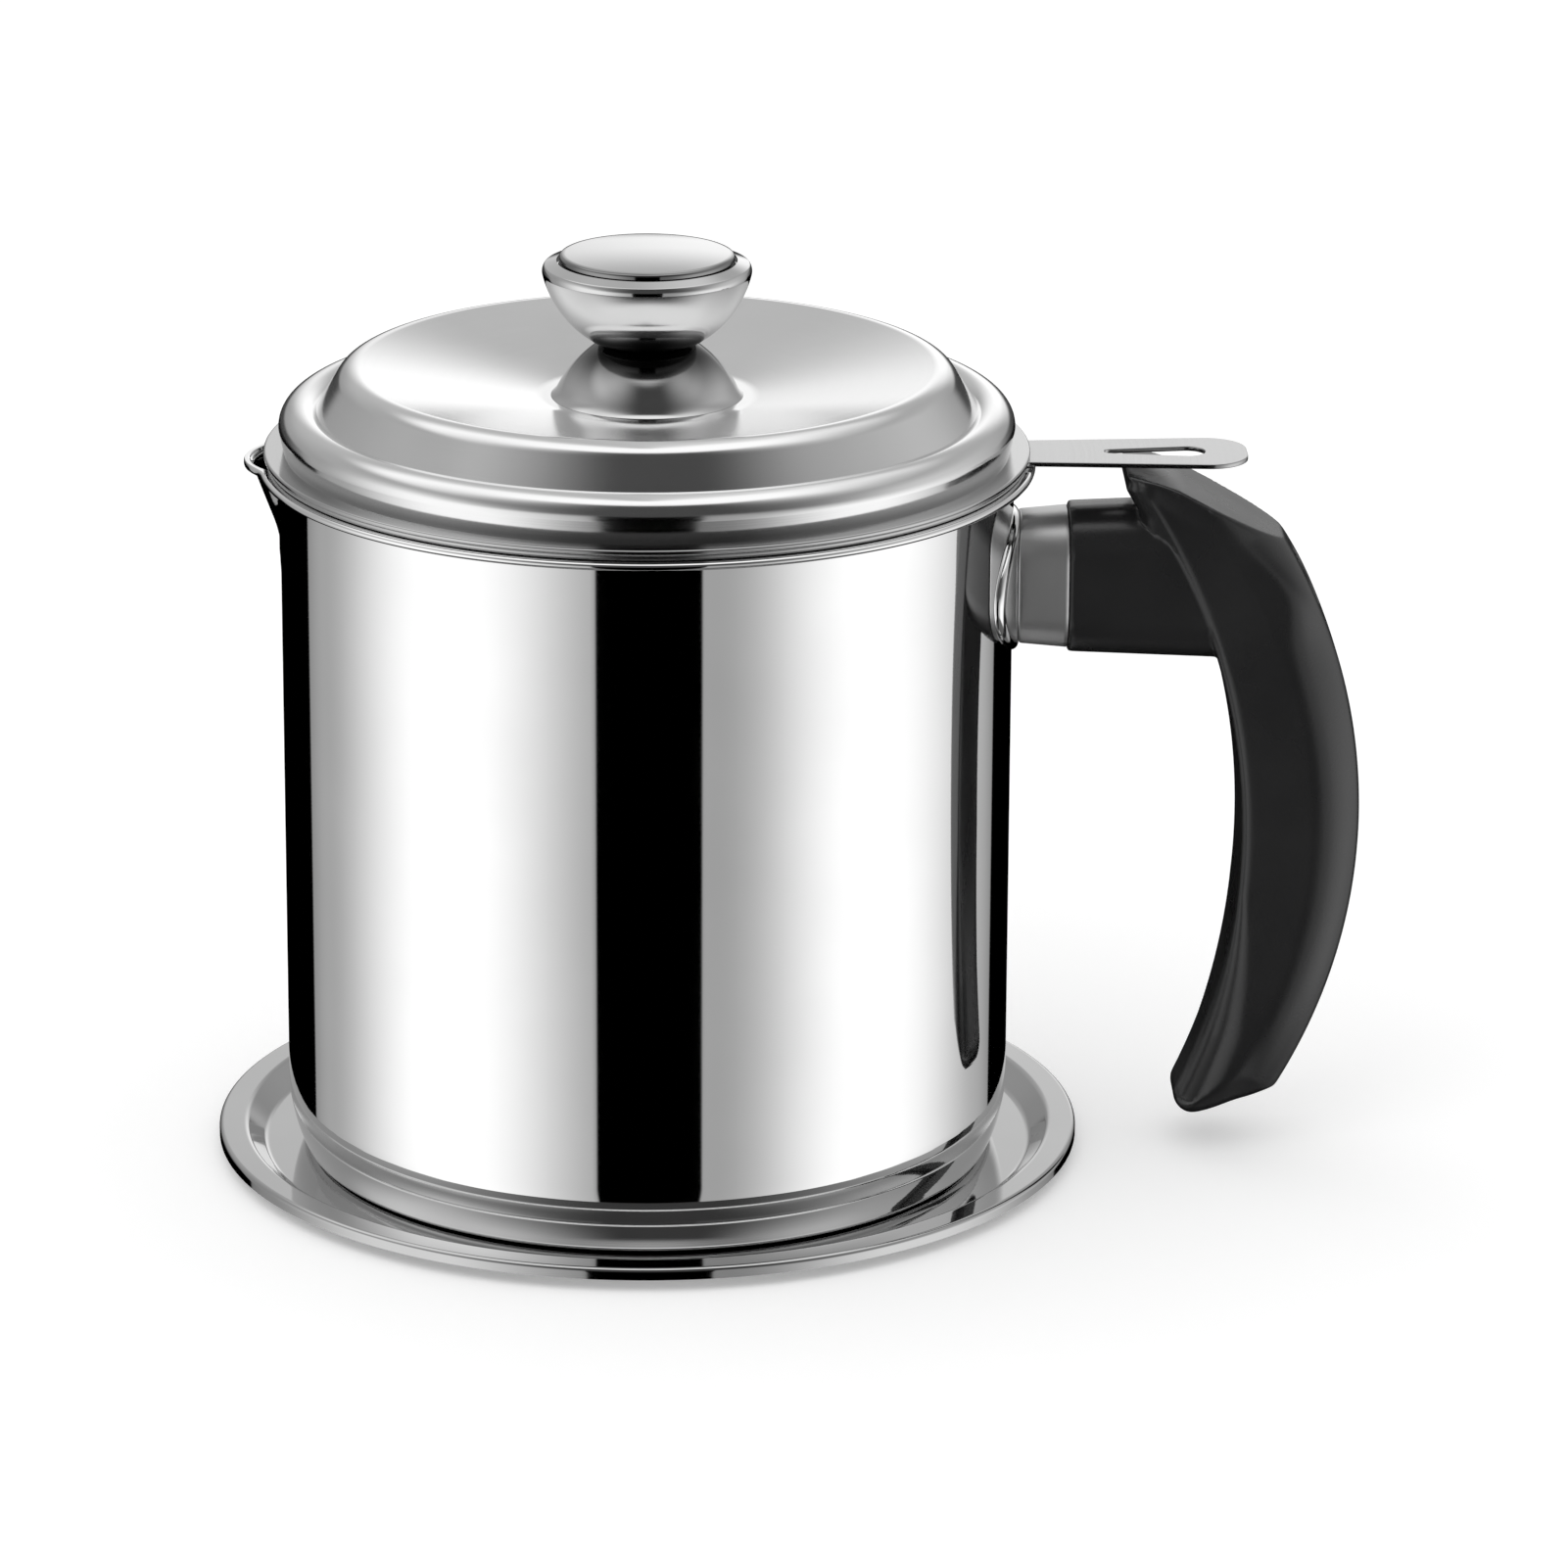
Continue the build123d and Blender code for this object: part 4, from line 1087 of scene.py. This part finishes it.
def grow(name, tree, sockets, sizes, material, place=Matrix.Identity(4)):
    piece = newObject(name, bpy.data.meshes.new(name))
    modifier = piece.modifiers.new(name, "NODES")
    modifier.node_group = tree
    for label, size in sizes.items():
        modifier[sockets[label]] = size * mm
    modifier[sockets["Material"]] = material
    grown = evaluatedMesh(piece)
    piece.modifiers.clear()
    grown.name = name
    grown.transform(place)
    piece.data = grown
    return piece


gauze = {
    "Radius": 48.9,
    "Middle": 94.92,  # height
    "Pitch": 1.5,
    "Wire": 0.28,
    "Wave": 0.14,
}


def makeGauze(g):
    tree, n, sockets = newTree("wovenGauze", list(g) + ["Material"])
    given = n.add("NodeGroupInput").outputs
    pitch = given["Pitch"]
    rows = n.math("FLOOR", n.math("DIVIDE", given["Radius"], pitch))
    half = n.times(rows, pitch)
    back = n.times(half, -1)
    wire = n.add("GeometryNodeCurvePrimitiveLine", {"Start": n.vector(back), "End": n.vector(half)})
    line = n.add("GeometryNodeMeshLine", {
        "Count": n.math("ADD", n.times(rows, 2), 1),
        "Start Location": n.vector(y=back),
        "Offset": n.vector(y=pitch)})
    wires = n.add("GeometryNodeInstanceOnPoints", {"Points": line, "Instance": wire})
    wires = n.add("GeometryNodeRealizeInstances", {"Geometry": wires})
    count = n.math("ADD", n.times(rows, 4), 1)
    wires = n.add("GeometryNodeResampleCurve", {"Curve": wires, "Count": count})
    x, y, z = n.split(n.add("GeometryNodeInputPosition"))
    waves = [n.math("COSINE", n.times(n.math("DIVIDE", v, pitch), pi)) for v in (x, y)]
    rise = n.times(n.times(*waves), given["Wave"])
    wires = n.add("GeometryNodeSetPosition", {"Geometry": wires, "Offset": n.vector(z=rise)})
    beyond = n.math("GREATER_THAN", n.reach(x, y), given["Radius"])
    wires = n.add("GeometryNodeDeleteGeometry", {"Geometry": wires, "Selection": beyond})
    section = n.add("GeometryNodeCurvePrimitiveCircle", {
        "Resolution": 5, "Radius": n.math("DIVIDE", given["Wire"], 2)})
    tube = n.add("GeometryNodeCurveToMesh", {"Curve": wires, "Profile Curve": section, "Fill Caps": True})
    lift = n.vector(z=given["Middle"])
    layers = []
    for turn in ((0, 0, 0), (pi, 0, pi / 2)):  # the warp, and the weft turned over and across
        inputs = {"Geometry": tube, "Translation": lift, "Rotation": turn}
        layers.append(n.add("GeometryNodeTransform", inputs))
    finishTree(n, layers, given["Material"])
    piece = grow("strainerGauze", tree, sockets, g, gauzeSteel)
    print("gauze ready,", len(piece.data.polygons), "faces")
    finishPiece(piece, "strainer", ["strainer_gauze"])


gauzeSteel = polishedSteel("gauzeSteel", 0.82, 0.18, 0.02, 0.02)
makeGauze(gauze)

drive = {"Drive Length": 5.2, "Drive Width": 1.1, "Drive Depth": 1.2}
knobScrew = {
    "Head Radius": 4.6, "Head Height": 2.2, "Head Round": 1.2,
    "Shank Radius": 2.5, "Length": 10.7, "Pitch": 0.8, **drive}
handleScrew = {
    "Head Radius": 4.3, "Head Height": 2.8, "Head Round": 1.0,
    "Shank Radius": 2.5, "Length": 27.8, "Pitch": 0.8, **drive}
knobScrewSeat = 127.06  # height of the head's flat side under the lid
handleScrewSeat = 95.86  # and its place along the arm
threadRun = 0.96  # of the shank's length
threadDepth = 0.5  # of the pitch
threadWidth = 0.45


def alongArm(x):  # lays a piece made along Z on the arm's axis
    return Matrix.Translation((x * mm, 0, armAxis * mm)) @ Matrix.Rotation(pi / 2, 4, "Y")


def makeScrews():
    tree, n, sockets = newTree("machineScrew", list(knobScrew) + ["Material"])
    given = n.add("NodeGroupInput").outputs
    radius, height, bend = (given[label] for label in ("Head Radius", "Head Height", "Head Round"))
    length, pitch = given["Length"], given["Pitch"]

    # the head: a cylinder whose upper edge is rounded, with a cross recess
    head = n.add("GeometryNodeMeshCylinder", {
        "Vertices": 64, "Side Segments": 14, "Radius": radius, "Depth": height})
    x, y, z = n.split(n.add("GeometryNodeInputPosition"))
    middle = n.math("DIVIDE", height, 2)
    over = n.math("MAXIMUM", n.math("SUBTRACT", z, n.math("SUBTRACT", middle, bend)), 0)
    left = n.math("SUBTRACT", n.times(bend, bend), n.times(over, over))
    inset = n.math("SQRT", n.math("MAXIMUM", left, 0))
    scale = n.math("DIVIDE", n.math("ADD", n.math("SUBTRACT", radius, bend), inset), radius)
    shaped = n.vector(n.times(x, scale), n.times(y, scale), z)
    head = n.add("GeometryNodeSetPosition", {"Geometry": head, "Position": shaped})
    head = n.add("GeometryNodeTransform", {"Geometry": head, "Translation": n.vector(z=middle)})
    cut = n.add("GeometryNodeMeshBoolean", {0: head}, operation="DIFFERENCE", solver="EXACT")
    deep, up = n.times(given["Drive Depth"], 2), n.vector(z=height)
    for a, b in (("Drive Length", "Drive Width"), ("Drive Width", "Drive Length")):
        bar = n.add("GeometryNodeMeshCube", {"Size": n.vector(given[a], given[b], deep)})
        n.plug(cut.inputs[1], n.add("GeometryNodeTransform", {"Geometry": bar, "Translation": up}))

    # the shank below it, and the thread wound round
    core = n.math("SUBTRACT", given["Shank Radius"], n.times(pitch, threadDepth))
    shank = n.add("GeometryNodeMeshCylinder", {"Vertices": 48, "Radius": core, "Depth": length})
    down = n.vector(z=n.times(length, -0.5))
    shank = n.add("GeometryNodeTransform", {"Geometry": shank, "Translation": down})
    helix = n.add("GeometryNodeCurveSpiral", {
        "Resolution": 32, "Rotations": n.math("DIVIDE", n.times(length, threadRun), pitch),
        "Start Radius": core, "End Radius": core, "Height": n.times(length, -threadRun)})
    width = n.times(pitch, threadWidth)
    crest = n.add("GeometryNodeCurvePrimitiveCircle", {"Resolution": 4, "Radius": width})
    thread = n.add("GeometryNodeCurveToMesh", {"Curve": helix, "Profile Curve": crest, "Fill Caps": True})
    finishTree(n, [cut, shank, thread], given["Material"])

    fromBelow = Matrix.Translation((0, 0, knobScrewSeat * mm)) @ Matrix.Rotation(pi, 4, "X")
    for name, node, body, sizes, place in (
            ("knobScrew", "knob_screw", "lid", knobScrew, fromBelow),
            ("handleScrew", "handle_screw", "pot", handleScrew, alongArm(handleScrewSeat))):
        piece = grow(name, tree, sockets, sizes, zincSteel, place)
        piece.data.shade_smooth()
        piece.data.set_sharp_from_angle(angle=radians(35))
        finishPiece(piece, body, [node])


washers = {
    "knobWasher": {"node": "knob_washer", "body": "lid", "radius": 6.5, "low": 127.08},
    "handleWasher": {"node": "handle_screw_washer", "body": "pot", "radius": 4.6, "low": 95.04},
}
washerHole = 2.8
washerThickness = 0.8
washerRounds = [0.12, 0.2, 0.2, 0.12]  # at the hole, twice at the outside and at the hole again


def makeWashers():
    for name, w in washers.items():
        low, top = w["low"], w["low"] + washerThickness
        corners = [(washerHole, low), (w["radius"], low), (w["radius"], top), (washerHole, top)]
        loop = roundedPath(corners[-1:] + corners + corners[:1], washerRounds, 4)[1:-1]
        piece = lathe(name, loop, zincSteel, 96)
        if w["body"] == "pot":
            piece.data.transform(alongArm(0))
        finishPiece(piece, w["body"], [w["node"]])


makeScrews()
makeWashers()
print("gauze, screws and washers ready")

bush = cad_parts["knob_bush"].data
bush.materials.clear()
bush.materials.append(turnedBrass)
